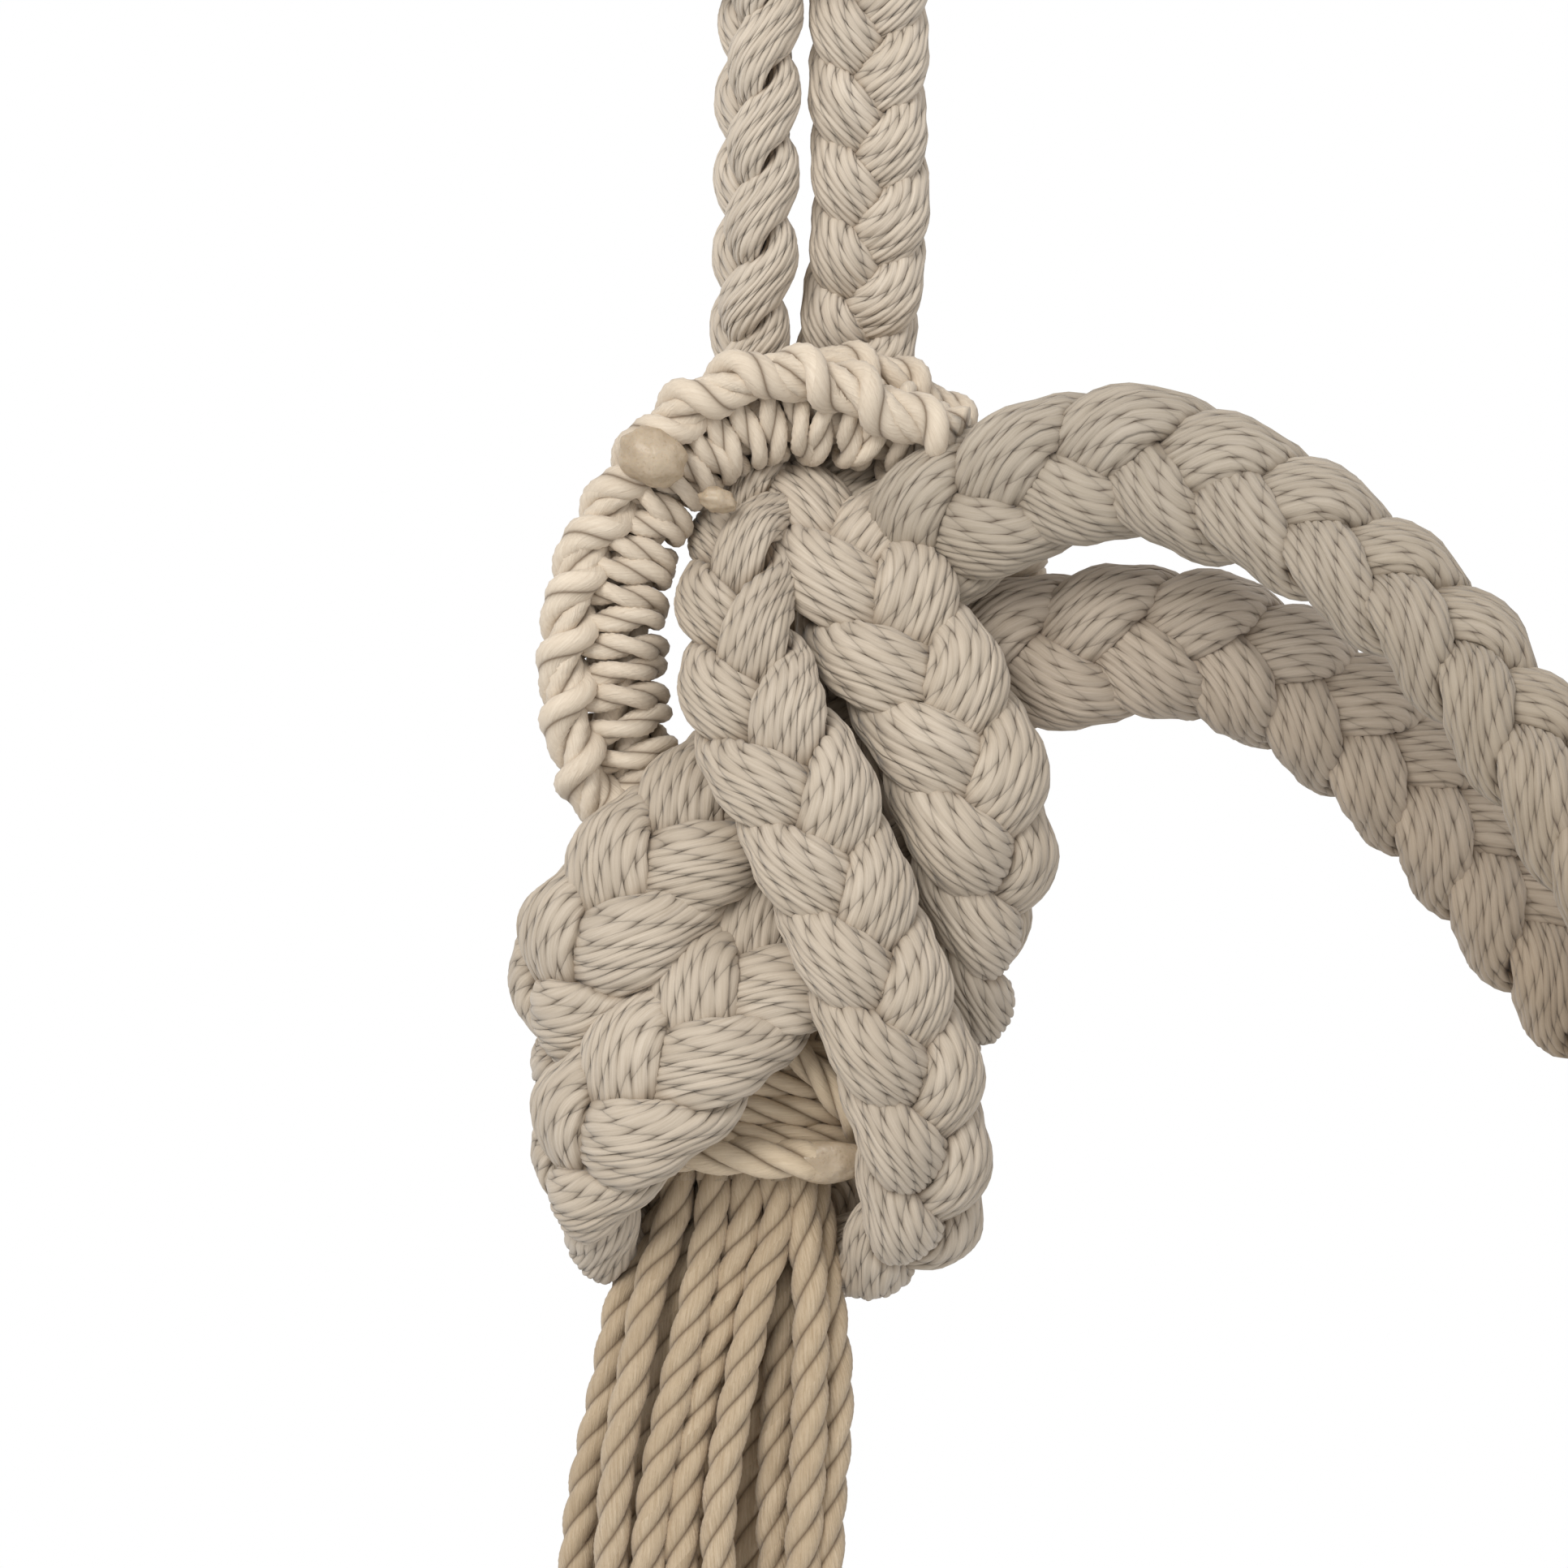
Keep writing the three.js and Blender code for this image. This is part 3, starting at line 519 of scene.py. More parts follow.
# Painted shade: the braided yarn darker and greyer, in blotches, below 0.30 m down.
LOWER_SHADE = (-0.30, 0.05, 0.7, (0.80, 0.78, 0.75))
STAINED = (-0.32, 0.13, 0.8, (0.66, 0.56, 0.43))
BRAIDED = cord_material(
    "braided_yarn", (0.75, 0.66, 0.55), (0.57, 0.485, 0.38), (0.07, 0.045, 0.025), 0, 0.35, 0.1, [LOWER_SHADE],
)
ARM_BRAID = cord_material(
    "arm_yarn", (0.61, 0.53, 0.44), (0.48, 0.405, 0.32), (0.09, 0.06, 0.035), 0, 0.25, 0.1, [STAINED],
)
# Painted shade: the front arm's yarn is the arm yarn made darker.
SHADED_ARM_BRAID = cord_material(
    "shaded_arm_yarn", (0.52, 0.455, 0.375), (0.41, 0.35, 0.27), (0.08, 0.05, 0.03), 0, 0.25, 0.1, [STAINED],
)
PLIED = cord_material(
    "plied_cord", (0.67, 0.54, 0.38), (0.45, 0.335, 0.21), (0.14, 0.09, 0.05), 6.2, 0, 0.3,
)
# Painted light: the neck binding's cord is the plied cord made lighter, against the shade on the neck.
LIT_BINDING = cord_material(
    "lit_binding_cord", (0.80, 0.66, 0.48), (0.64, 0.51, 0.35), (0.17, 0.11, 0.06), 7.0, 0, 0.25,
)
HITCHED = cord_material(
    "hitched_cord", (0.83, 0.725, 0.585), (0.68, 0.57, 0.44), (0.17, 0.115, 0.07), 7.0, 0, 0.25,
)


def wood_material():
    made, tree, shader = new_material("oiled_wood", 0.5)
    s = Sums(tree)
    x, y, z = s.split(s.place())
    warp = s.noise(s.vector(s.times(x, 3.0), y, z), 18.0, 3.0)
    rings = s.vector(s.times(x, 0.06), s.math("ADD", y, s.times(warp, 0.004)), z)
    grain = s.noise(rings, 420.0, 4.0, 0.65)
    pores = s.noise(s.vector(s.times(x, 0.05), y, z), 1900.0, 2.0)
    body = s.mix(s.scaled(grain, 1.9, -0.45, clamp=True), (0.33, 0.185, 0.085), (0.56, 0.36, 0.19))
    body = s.mix(s.scaled(pores, 2.5, -1.35, clamp=True), body, (0.17, 0.09, 0.04))
    tree.links.new(body, shader.inputs["Base Color"])
    tree.links.new(s.scaled(grain, 0.25, 0.38), shader.inputs["Roughness"])
    s.bump(shader, s.math("ADD", grain, pores), 0.0003, 0.6)
    return made


def steel_material():
    made, tree, shader = new_material("satin_steel", 0.3)
    shader.inputs["Metallic"].default_value = 1.0
    s = Sums(tree)
    where = s.place()
    scuffs = s.noise(where, 900.0, 4.0, 0.7)
    broad = s.noise(where, 90.0, 2.0)
    tree.links.new(s.mix(broad, (0.52, 0.53, 0.55), (0.66, 0.67, 0.69)), shader.inputs["Base Color"])
    tree.links.new(s.scaled(scuffs, 0.3, 0.16), shader.inputs["Roughness"])
    return made


def melted_material():
    """Melted cord: smooth, a little glossy and browner than the cord."""
    made, tree, shader = new_material("melted_end", 0.42)
    shader.inputs["Subsurface Weight"].default_value = 0.25
    shader.inputs["Subsurface Radius"].default_value = (0.003, 0.002, 0.001)
    s = Sums(tree)
    where = s.place()
    cloud = s.noise(where, 260.0, 3.0, 0.6)
    specks = s.noise(where, 1500.0, 2.0, 0.6)
    body = s.mix(s.scaled(cloud, 2.4, -0.75, clamp=True), (0.40, 0.31, 0.21), (0.54, 0.44, 0.32))
    body = s.mix(s.scaled(specks, 2.2, -1.25, clamp=True), body, (0.25, 0.16, 0.08))
    tree.links.new(body, shader.inputs["Base Color"])
    s.bump(shader, cloud, 0.0006)
    return made


WOOD = wood_material()
STEEL = steel_material()
MELTED = melted_material()

# ---------- Camera, light and floor ----------

CAMERA_X = -186.4
CAMERA_Z = -373.1
CAMERA_BACK = 600.0


def stand_camera():
    data = bpy.data.cameras.new("camera")
    data.lens = 86.0
    data.sensor_width = 36.0
    data.clip_start = 0.01
    camera = bpy.data.objects.new("camera", data)
    camera.location = (CAMERA_X * MM, -CAMERA_BACK * MM, CAMERA_Z * MM)
    camera.rotation_euler = (math.pi / 2, 0, 0)
    bpy.context.scene.collection.objects.link(camera)
    bpy.context.scene.camera = camera


def area_light(name, place, target, size, power, color):
    """A round light that faces its target."""
    data = bpy.data.lights.new(name, "AREA")
    data.shape = "DISK"
    data.size = size
    data.energy = power
    data.color = color
    light = bpy.data.objects.new(name, data)
    light.location = place
    way = np.array(target) - np.array(place)
    light.rotation_euler = (
        math.atan2(math.hypot(way[0], way[1]), -way[2]), 0, math.atan2(way[1], way[0]) - math.pi / 2,
    )
    bpy.context.scene.collection.objects.link(light)


def light_studio():
    world = bpy.data.worlds.new("studio")
    bpy.context.scene.world = world
    world.use_nodes = True
    tree = world.node_tree
    background = tree.nodes["Background"]
    # The camera sees plain white behind the object, which is lit by a dimmer grey.
    seen = node(tree, "ShaderNodeLightPath")
    tint = node(tree, "ShaderNodeMix", data_type="RGBA")
    tint.inputs[6].default_value = (0.70, 0.70, 0.71, 1)
    tint.inputs[7].default_value = (1, 1, 1, 1)
    tree.links.new(seen.outputs["Is Camera Ray"], tint.inputs[0])
    tree.links.new(tint.outputs[2], background.inputs["Color"])
    target = (-0.15, 0, -0.36)
    area_light("key", (-0.75, -1.2, 0.3), target, 0.75, 12.6, (1, 0.985, 0.96))
    area_light("fill", (1.2, -1.2, -0.1), target, 1.2, 3, (0.97, 0.98, 1))
    bpy.context.scene.view_settings.view_transform = "Standard"


def lay_floor():
    bpy.ops.mesh.primitive_plane_add(size=4.0, location=(0, 0, -1.5))
    floor = bpy.context.object
    floor.name = "floor"
    made, tree, shader = new_material("pale_floor", 0.9)
    s = Sums(tree)
    cloud = s.noise(s.place(), 3.0)
    tree.links.new(s.mix(cloud, (0.82, 0.82, 0.81), (0.86, 0.86, 0.85)), shader.inputs["Base Color"])
    floor.data.materials.append(made)


stand_camera()
light_studio()
lay_floor()

# ---------- Routes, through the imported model's points ----------

LOWER_WRAP = [
    [-1, 24, -36, 0, 1, -0.2],
    [-11, 22, -37, -0.3, 0.9, -0.2],
    [-20, 15, -36, -0.8, 0.6, -0.2],
    [-27, 4, -31, -1, 0, -0.2],
    [-30, -7, -24, -0.8, -0.6, 0],
    [-26, -15, -17, -0.5, -0.9, 0.2],
    [-17, -18.5, -8, -0.35, -1, 0.35],
    [-8, -16.5, 1, -0.2, -1, 0.35],
    [0, -11, 9, -0.1, -1, 0.3],
    [8, -5, 15, 0.1, -1, 0.1],
    [15, -1, 19, 0.2, -1, 0],
]

FRONT_BRAID = [
    [-3.8, 18.5, 96, -0.9, -0.4, 0],
    [-3.5, 9, 84, -0.8, -0.6, 0.2],
    [-5.7, -3, 73, -0.6, -0.8, 0.1],
    [-5, -10, 60, -0.45, -0.9, 0],
    [-2, -15, 47, -0.2, -1, 0],
    [3, -18, 38, 0, -1, 0],
    [10, -20, 23, 0.1, -1, 0],
    [15, -21, 11, 0.2, -1, 0],
    [19, -20, -1, 0.3, -1, 0],
    [23, -16, -14, 0.4, -0.9, 0],
    [24, -10, -26, 0.5, -0.8, -0.3],
    [22.5, -1, -35, 0.5, -0.5, -0.7],
    [17, 11, -38, 0.4, 0.2, -0.9],
    [9, 20, -37, 0.3, 0.8, -0.5],
    [0, 24, -36, 0, 1, -0.2],
]

STRAP = [
    [-3.8, 16, 106, -1, -0.15, 0],
    [-2.6, 9, 124, -1, -0.27, 0],
    [-2, 3, 149, -1, -0.27, 0],
    [-1, 0, 170, -1, -0.27, 0],
    [2, -6, 186, -0.7, -0.7, 0],
    [6.5, -13.6, 202, 0, -1, 0],
    [7, -13.9, 210, 0, -1, 0],
    [7, -9.8, 219.8, 0, -0.7, 0.7],
    [7, 0, 223.9, 0, 0, 1],
    [7, 9.8, 219.8, 0, 0.7, 0.7],
    [7, 13.9, 210, 0, 1, 0],
    [8, 11.5, 200, 0, 1, 0],
    [14.5, 3, 182, 0, 1, 0],
    [15.6, 0, 170, 0, 1, 0],
    [15.6, 3, 149, 0, 1, 0],
    [15.6, 9, 124, 0, 1, 0],
    [13.5, 16, 106, 0, 1, 0],
]

BACK_BRAID = [
    [10.5, 18.5, 96, 0.1, -1, 0],
    [9, 10, 84, 0.3, -1, 0.2],
    [12.5, -1, 72, 0.3, -1, 0],
    [20.5, -7, 59, 0.2, -1, 0],
    [27.5, -9, 46, 0.2, -1, 0],
    [32.5, -9, 33, 0.4, -0.9, 0],
    [34.5, -3, 20, 0.7, -0.7, 0],
    [33, 5, 9, 1, -0.1, 0],
    [28, 15, 0, 0.8, 0.6, 0],
    [19, 23, -6, 0.4, 0.9, 0],
    [6, 28, -9, 0, 1, 0],
]

UPPER_WRAP = [
    [2.5, 28, -9, 0, 1, 0],
    [-8, 27.5, -9.5, -0.2, 1, 0],
    [-20, 22, -9, -0.6, 0.8, 0],
    [-29, 12, -5, -0.9, 0.3, 0],
    [-33, 2, -1, -1, -0.3, 0],
    [-32, -6, 6, -0.7, -0.7, 0],
    [-27, -11, 12, -0.4, -0.9, 0.25],
    [-20, -11, 21, -0.25, -1, 0.35],
    [-11, -8, 30, -0.2, -1, 0.35],
    [-3, -2, 37, 0, -1, 0.2],
]

FRONT_ARM = [
    [15.5, 8, 66, 0.2, -1, 0],
    [21, 2, 73.5, 0.1, -1, 0],
    [28, -3, 78.5, 0, -1, 0],
    [36.5, -6, 83, 0, -1, 0],
    [46, -8, 86, 0, -1, 0],
    [57.5, -10, 87.5, 0, -1, 0],
    [67.5, -13, 84.5, 0.1, -1, 0.1],
    [78.5, -17, 79.5, 0.25, -1, 0.2],
    [91, -21, 70.5, 0.4, -0.85, 0.3],
    [102.5, -25, 61, 0.45, -0.8, 0.35],
    [111.5, -29, 48, 0.45, -0.8, 0.3],
    [121, -32.5, 35, 0.4, -0.85, 0.25],
    [133, -37, 18, 0.3, -0.95, 0.1],
    [144, -41, 5, 0.15, -0.85, -0.3],
    [156, -43.5, -6, 0, -0.7, -0.65],
    [170, -45, -12.5, 0, -0.7, -0.7],
    [188.5, -45.5, -15, 0, -0.7, -0.7],
]

BACK_ARM = [
    [31, 12, 55, 0, -1, 0],
    [38.5, 10, 57.5, 0, -1, 0],
    [46, 9, 58.5, 0, -1, 0],
    [57.5, 9, 60, 0, -1, 0],
    [69.5, 11, 59.5, 0, -1, 0],
    [80.5, 15, 56.5, 0, -1, 0],
    [90, 19, 50.5, 0.1, -1, 0.1],
    [100, 23, 43, 0.1, -1, 0.1],
    [110, 27, 34.5, 0.2, -0.9, 0.2],
    [120, 31, 24, 0.2, -0.9, 0.2],
    [129, 34, 13, 0.3, -0.9, 0.3],
    [137, 37.5, 3, 0.3, -0.8, 0.4],
    [148, 41, -7, 0.2, -0.8, 0.6],
    [160, 43.5, -12.5, 0.1, -0.7, 0.7],
    [174, 45, -15, 0, -0.7, 0.7],
    [188.5, 45.5, -15.5, 0, -0.7, 0.7],
]

# The hidden roots of the arms in the middle of the knot.
FRONT_ROOT = [[3, 5, 38, 0.2, -1, 0], [9, 9.5, 53, 0.2, -1, 0]]
BACK_ROOT = [
    [13, 2, 6, 0.2, -1, 0],
    [16, 3, 20, 0.2, -1, 0],
    [20, 8, 34, 0.1, -1, 0],
    [25, 11, 46, 0.1, -1, 0],
]

# A second, shorter ridge of knots lies behind the first at the loop's top.
REAR_RIDGE = [
    [6, 3, 104],
    [15, 5, 104.5],
    [24, 7, 101],
    [31, 9, 95],
    [36, 12, 88],
]

LOOP = [
    [-2, 16, 15],
    [-11, 14, 18],
    [-17.5, 10, 26],
    [-21.5, 4, 36],
    [-24, 0.5, 46],
    [-24.7, 0, 58],
    [-23.5, 0, 71],
    [-18.5, 0, 83],
    [-10, 0, 92],
    [1.5, 0, 96],
    [14, 1, 95],
    [27, 5, 90],
    [35.5, 14, 80],
    [38, 21, 69],
    [37, 27, 57],
    [33, 29, 45],
    [25, 28, 34],
    [14, 24, 26],
]

RIDGE = [
    [-27.5, -3, 31],
    [-32, -6, 43],
    [-33.3, -6.5, 56],
    [-30.8, -6.5, 72],
    [-25, -6.5, 83],
    [-17, -8, 94],
    [-3, -9.5, 102],
    [9, -9.5, 101],
    [20, -8.5, 96],
    [29, -5.5, 93],
]


def placed(stations):
    """Stations of the left knot's frame in the row frame."""
    return [[GATHER_X + s[0], s[1], GATHER_Z + s[2], *s[3:]] for s in stations]


def turned_over(stations):
    """The same stations seen from the braid's other face."""
    return [[*s[:3], *(-value for value in s[3:])] for s in stations]


def reflected(stations):
    """Row-frame stations mirrored in the planter's middle plane, in the other order."""
    return [[-s[0], s[1], s[2], -s[3], s[4], s[5]] for s in reversed(stations)]


def length_of(points):
    return float(np.linalg.norm(np.diff(points, axis=0), axis=1).sum())


# ---------- Braids: strap, wraps and arms ----------


def finished(pieces, name, material, nodes, mirrored=False, body="cradle"):
    piece = pieces.object(name, material, mirrored)
    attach(piece, body)
    if nodes:
        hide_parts(*nodes)
    return piece


def build_strap(side, mirrored):
    front_up = turned_over(FRONT_BRAID[::-1])
    first_leg = turned_over(STRAP)
    stations = placed(front_up + first_leg + BACK_BRAID)
    pieces = Pieces()
    knot = length_of(through(placed(FRONT_BRAID))[:, :3])
    back = length_of(through(placed(BACK_BRAID))[:, :3])
    whole = length_of(through(stations)[:, :3])
    loop = whole - back
    widths = [
        (0, 19), (14, KNOT_WIDE), (knot - 62, KNOT_WIDE), (knot - 46, 19.5), (knot - 12, 18.5),
        (knot, STRAP_WIDE), (loop, STRAP_WIDE), (loop + 14, 22), (loop + 30, 27), (loop + 85, 25),
        (whole - 14, KNOT_WIDE), (whole, 19),
    ]
    pitches = [
        (0, 46), (knot - 30, 46), (knot, 38), (knot + 95, 38), (knot + 96, 40.5), (loop - 75, 40.5),
        (loop - 74, 36.1), (loop - 22, 36.1), (loop - 21, 33.9), (loop + 1, 33.9), (loop + 2, 38.5),
        (loop + 30, 46), (whole, 46),
    ]
    route = braid(pieces, stations, widths, pitches, 1.25, 10, 11, **fineness(mirrored, 0.9))
    nodes = [f"{side}_strap", f"{side}_front_braid", f"{side}_back_braid"]
    piece = finished(pieces, f"{side}_strap_braid", BRAIDED, nodes, mirrored)


def build_wrap(side, mirrored, name, stations, phase, number, seed):
    line = placed(stations)
    whole = length_of(through(line)[:, :3])
    pieces = Pieces()
    widths = [(0, 19), (14, 23), (0.35 * whole, 25), (0.55 * whole, 27.5), (0.8 * whole, 27.5), (whole, 24)]
    pitches = [(0, 46), (whole, 46)]
    braid(pieces, line, widths, pitches, phase, number, seed, thick=0.88, **fineness(mirrored, 0.8))
    finished(pieces, f"{side}_{name}_braid", BRAIDED, [f"{side}_{name}"], mirrored)


ARM_SHOULDER_WIDE = 22.0  # the front arm's, where it turns down


def build_arm(name, root, arm, shoulder, material, phase, number, seed):
    half = placed(turned_over(root + arm))
    stations = half + reflected(half[:-1])
    whole = length_of(through(stations)[:, :3])
    pieces = Pieces()
    widths = [(0, 21), (20, ARM_WIDE), (75, ARM_WIDE), (115, shoulder), (165, shoulder), (200, ARM_WIDE)]
    widths += [(whole - reach, wide) for reach, wide in widths[::-1]]
    pitches = [(0, 47), (whole, 47)]
    route = braid(pieces, stations, widths, pitches, phase, number, seed, 1.3)
    piece = finished(pieces, f"{name}_braid", material, [name])
    return route


for side, mirrored in SIDES:
    build_strap(side, mirrored)
    build_wrap(side, mirrored, "upper_wrap", turned_over(UPPER_WRAP), 0.2, 40, 21)
    build_wrap(side, mirrored, "lower_wrap", turned_over(LOWER_WRAP), -0.74, 50, 22)

front_route = build_arm("front_arm", FRONT_ROOT, FRONT_ARM, ARM_SHOULDER_WIDE, SHADED_ARM_BRAID, 0.4, 30, 23)
back_route = build_arm("back_arm", BACK_ROOT, BACK_ARM, ARM_WIDE, ARM_BRAID, -1.1, 34, 24)

# ---------- Gather loops: rope core, hitching, ridge, melted ends ----------

RIDGE_REPEAT = 19.2
RIDGE_SWING = 2.4
RIDGE_DEEP = 2.3
RIDGE_LAG = -1.7
RIDGE_HEART = 6.6
RIDGE_TUCK = 0.7
RIDGE_CORD = 5.8
REAR_RIDGE_CORD = 5.0
LOOP_ROPE = 10.4
HITCH_CORD = 4.7
HITCH_RADIUS = 6.1
HITCH_SPACINGS = (3.8, 4.4)
HITCH_TILTS = (0.15, -0.05)

# Each melted button's middle and sizes.
MELTED_END = ((-18.4, -11.5, 88.2), (11.0, 6.5, 8.6))
MELTED_TIP = ((-8.2, -10.0, 81.6), (6.0, 4.5, 4.0))
FUSED_END = ((9.0, -10.2, -22.7), (14, 5.6, 6.4))


def knot_ridge(pieces, points, cord, number, hand, step):
    """Two cords that pass over one another, each swinging out, across the front and back in."""
    rows, along = spaced(through([in_gather(*point) for point in points]), 0.5)
    tangents, front, outward = still_frame(rows, np.array([0, -1.0, 0]))
    rows = rows + RIDGE_TUCK * outward
    turn = TAU * along / RIDGE_REPEAT
    rope(pieces, rows, RIDGE_HEART, number + 2, step=COARSE_STEP, hand=hand)
    for strand in range(2):
        phase = turn * hand + strand * math.pi
        lift = RIDGE_DEEP * np.cos(phase)
        swing = RIDGE_SWING * np.sin(phase)
        lag = RIDGE_LAG * hand * np.sin(phase)
        curl = rows + front * lift[:, None] + outward * swing[:, None] + tangents * lag[:, None]
        rope(pieces, curl, cord, number + strand, pitch=3.6 * cord, step=step, plies=2, sides=7,
             turn=strand, hand=hand, lobes=0.17)


def melted_blob(name, button, seed, mirrored, lean=0.35):
    """A cord's end melted to a smooth, slightly lumpy button."""
    centre, sizes = button
    rng = np.random.default_rng(seed)
    rings, around = 20, 36
    pieces = Pieces()
    polar = np.linspace(0.02, math.pi - 0.02, rings)
    azimuth = np.linspace(0, TAU, around, endpoint=False)
    direction = np.stack([
        np.cos(polar)[:, None] * np.ones(around), np.sin(polar)[:, None] * np.cos(azimuth),
        np.sin(polar)[:, None] * np.sin(azimuth),
    ], axis=-1)
    lumps = np.ones((rings, around))
    for _ in range(7):
        axis = unit(rng.normal(size=3))
        lumps += rng.uniform(-0.16, 0.2) * np.exp(3.5 * (direction @ axis - 1))
        lumps += 0.03 * np.sin(direction @ rng.normal(size=3) * 4 + rng.uniform(0, TAU))
    shape = direction * lumps[..., None] * np.array(sizes) / 2
    turned = shape.copy()
    turned[..., 0] = shape[..., 0] * math.cos(lean) + shape[..., 2] * math.sin(lean)
    turned[..., 2] = -shape[..., 0] * math.sin(lean) + shape[..., 2] * math.cos(lean)
    pieces.tube(turned + in_gather(*centre), polar * sizes[0] / 2, np.arange(around + 1) / 6, 700)
    finished(pieces, name, MELTED, [], mirrored)


def build_loop(side, mirrored):
    hand = -1 if mirrored else 1
    coarse = 1.8 if mirrored else 1.0  # times the finer steps
    line = through([in_gather(*point) for point in LOOP])
    core = Pieces()
    rope(core, line, LOOP_ROPE, 60, step=COARSE_STEP, hand=hand)
    finished(core, f"{side}_loop_rope", HITCHED, [f"{side}_loop_core"], mirrored)

    rng = np.random.default_rng(5)
    wraps = Pieces()
    rows, along = spaced(line, 0.5)
    tangents, side_way, other_way = still_frame(rows, np.array([0, -1.0, 0]))
    number = 0
    place = 4.0
    while place < along[-1] - 4:
        i = int(place / along[-1] * (len(rows) - 1))
        # Turns lie in pairs that close up on the loop's inner side.
        tilt = HITCH_TILTS[number % 2] + rng.uniform(-0.05, 0.05)
        angles = np.linspace(0, TAU, 25)[:-1] + math.pi + rng.uniform(-0.3, 0.3)
        radius = HITCH_RADIUS + 0.2 * np.cos(2 * angles + rng.uniform(0, TAU)) + rng.uniform(-0.15, 0.25)
        ring = rows[i] + radius[:, None] * (
            np.cos(angles)[:, None] * side_way[i] + np.sin(angles)[:, None] * other_way[i]
        ) + tangents[i] * (tilt * 6.0 * np.sin(angles))[:, None]
        closed = np.vstack([ring, ring[:1]])
        rope(wraps, through(closed, 3), HITCH_CORD + rng.uniform(-0.2, 0.25), 100 + number, pitch=17,
             step=1.2 * coarse, sides=7, plies=2, turn=rng.uniform(0, TAU), hand=hand, lobes=0.2)
        place += HITCH_SPACINGS[number % 2] + rng.uniform(-0.2, 0.2)
        number += 1
    finished(wraps, f"{side}_loop_wraps", HITCHED, [f"{side}_loop_hitching"], mirrored)

    ridge = Pieces()
    knot_ridge(ridge, RIDGE, RIDGE_CORD, 200, hand, 0.8 * coarse)
    knot_ridge(ridge, REAR_RIDGE, REAR_RIDGE_CORD, 210, hand, coarse)
    finished(ridge, f"{side}_loop_ridge_knots", HITCHED, [f"{side}_loop_ridge"], mirrored)

    melted_blob(f"{side}_melted_end", MELTED_END, 3, mirrored)
    melted_blob(f"{side}_melted_tip", MELTED_TIP, 8, mirrored)


for side, mirrored in SIDES:
    build_loop(side, mirrored)

# ---------- Wrappings ----------

AXES = {"x": (1, 2, 0), "y": (0, 2, 1), "z": (0, 1, 2)}
COIL_POINTS = 28  # in a turn


def coil(centre, axis, first_half, second_half, turns, pitch, start=0.0):
    """Points of a coil round an oval. The two half sizes lie along the other two axes."""
    count = int(turns * COIL_POINTS) + 1
    t = np.linspace(0, turns, count)
    a = start + TAU * t
    points = np.zeros((count, 3))
    first, second, third = AXES[axis]
    points[:, first] = first_half * np.cos(a)
    points[:, second] = second_half * np.sin(a)
    points[:, third] = (t - turns / 2) * pitch
    return np.asarray(centre) + points


def wrapping(name, nodes, points, diameter, material, slot, mirrored=False, body="cradle", taper=3.0,
             **look):
    """A cord wound on other parts, as a piece of its own."""
    pieces = Pieces()
    rope(pieces, points, diameter, 300, step=1.2, taper=taper, hand=-1 if mirrored else 1, **look)
    finished(pieces, name, material, nodes, mirrored, body)


NECK_HALF_WIDE = 16.2
NECK_HALF_DEEP = 11.4
NECK_TURNS = 4.1
NECK_PITCH = 4.4
NECK_W = -11.5
NECK_SLOPE = 0.12
NECK_CORD = 5.2
LAST_CORD = 6.6
STRAY_CORD = 5.0

# The binding's last turn comes round to the front and ends melted there; another cord slants
# down over the turns above it.
LAST_TURN = [
    (12, 6, -19.5),
    (1, 14.5, -20.5),
    (-14, 13, -20.5),
    (-21.5, 5, -20.8),
    (-19, -4.5, -21.2),
    (-10, -9.5, -21.4),
    (0, -10.6, -22),
    (9, -10, -22.6),
]
SLANTING_CORD = [
    (-3, -4, 3),
    (2, -8.5, -3),
    (7.5, -10, -9),
    (12.5, -8, -15.5),
    (15, -2, -20),
]

WHIPPING_PLACE = (7.2, 0.5, 174)
WHIPPING_HALF_WIDE = 20.4
WHIPPING_HALF_DEEP = 13.2

# The braids' ends meet behind the knot, where fine cord joins them.
JOINTS = {"lower": (-0.5, 24, -36.5), "upper": (4, 28, -9)}
JOINT_HALF_DEEP = 8.2
JOINT_HALF_HIGH = 11.6


def bind_neck(side, mirrored):
    def bind(part, nodes, points, diameter, pitch):
        wrapping(f"{side}_neck_{part}", nodes, points, diameter, LIT_BINDING, "warm_cord", mirrored, pitch=pitch)

    middle = in_gather(NECK_U + 1, NECK_Y, NECK_W)
    turns = coil(middle, "z", NECK_HALF_WIDE, NECK_HALF_DEEP, NECK_TURNS, NECK_PITCH, start=2.0)
    turns[:, 2] -= NECK_SLOPE * (turns[:, 0] - turns[:, 0].mean())
    bind("cord", [f"{side}_neck_wrap"], turns, NECK_CORD, 22)
    bind("last_turn", [], through([in_gather(*point) for point in LAST_TURN]), LAST_CORD, 24)
    bind("slanting_cord", [], through([in_gather(*point) for point in SLANTING_CORD]), STRAY_CORD, 22)
    melted_blob(f"{side}_neck_fused_end", FUSED_END, 5, mirrored, -0.08)


def bind_braids(side, mirrored):
    def bind(name, nodes, points, diameter):
        wrapping(f"{side}_{name}", nodes, points, diameter, HITCHED, "cream_cord", mirrored)

    middle = in_gather(*WHIPPING_PLACE)
    turns = coil(middle, "z", WHIPPING_HALF_WIDE, WHIPPING_HALF_DEEP, 2.1, CORD, start=2.0)
    bind("whipping_cord", [f"{side}_strap_whipping"], turns, CORD)
    for part, place in JOINTS.items():
        turns = coil(in_gather(*place), "x", JOINT_HALF_DEEP, JOINT_HALF_HIGH, 3.6, 4.6, start=2.0)
        bind(f"{part}_joint", [], turns, FINE_CORD)


for side, mirrored in SIDES:
    bind_neck(side, mirrored)
    bind_braids(side, mirrored)

# ---------- Tassels ----------

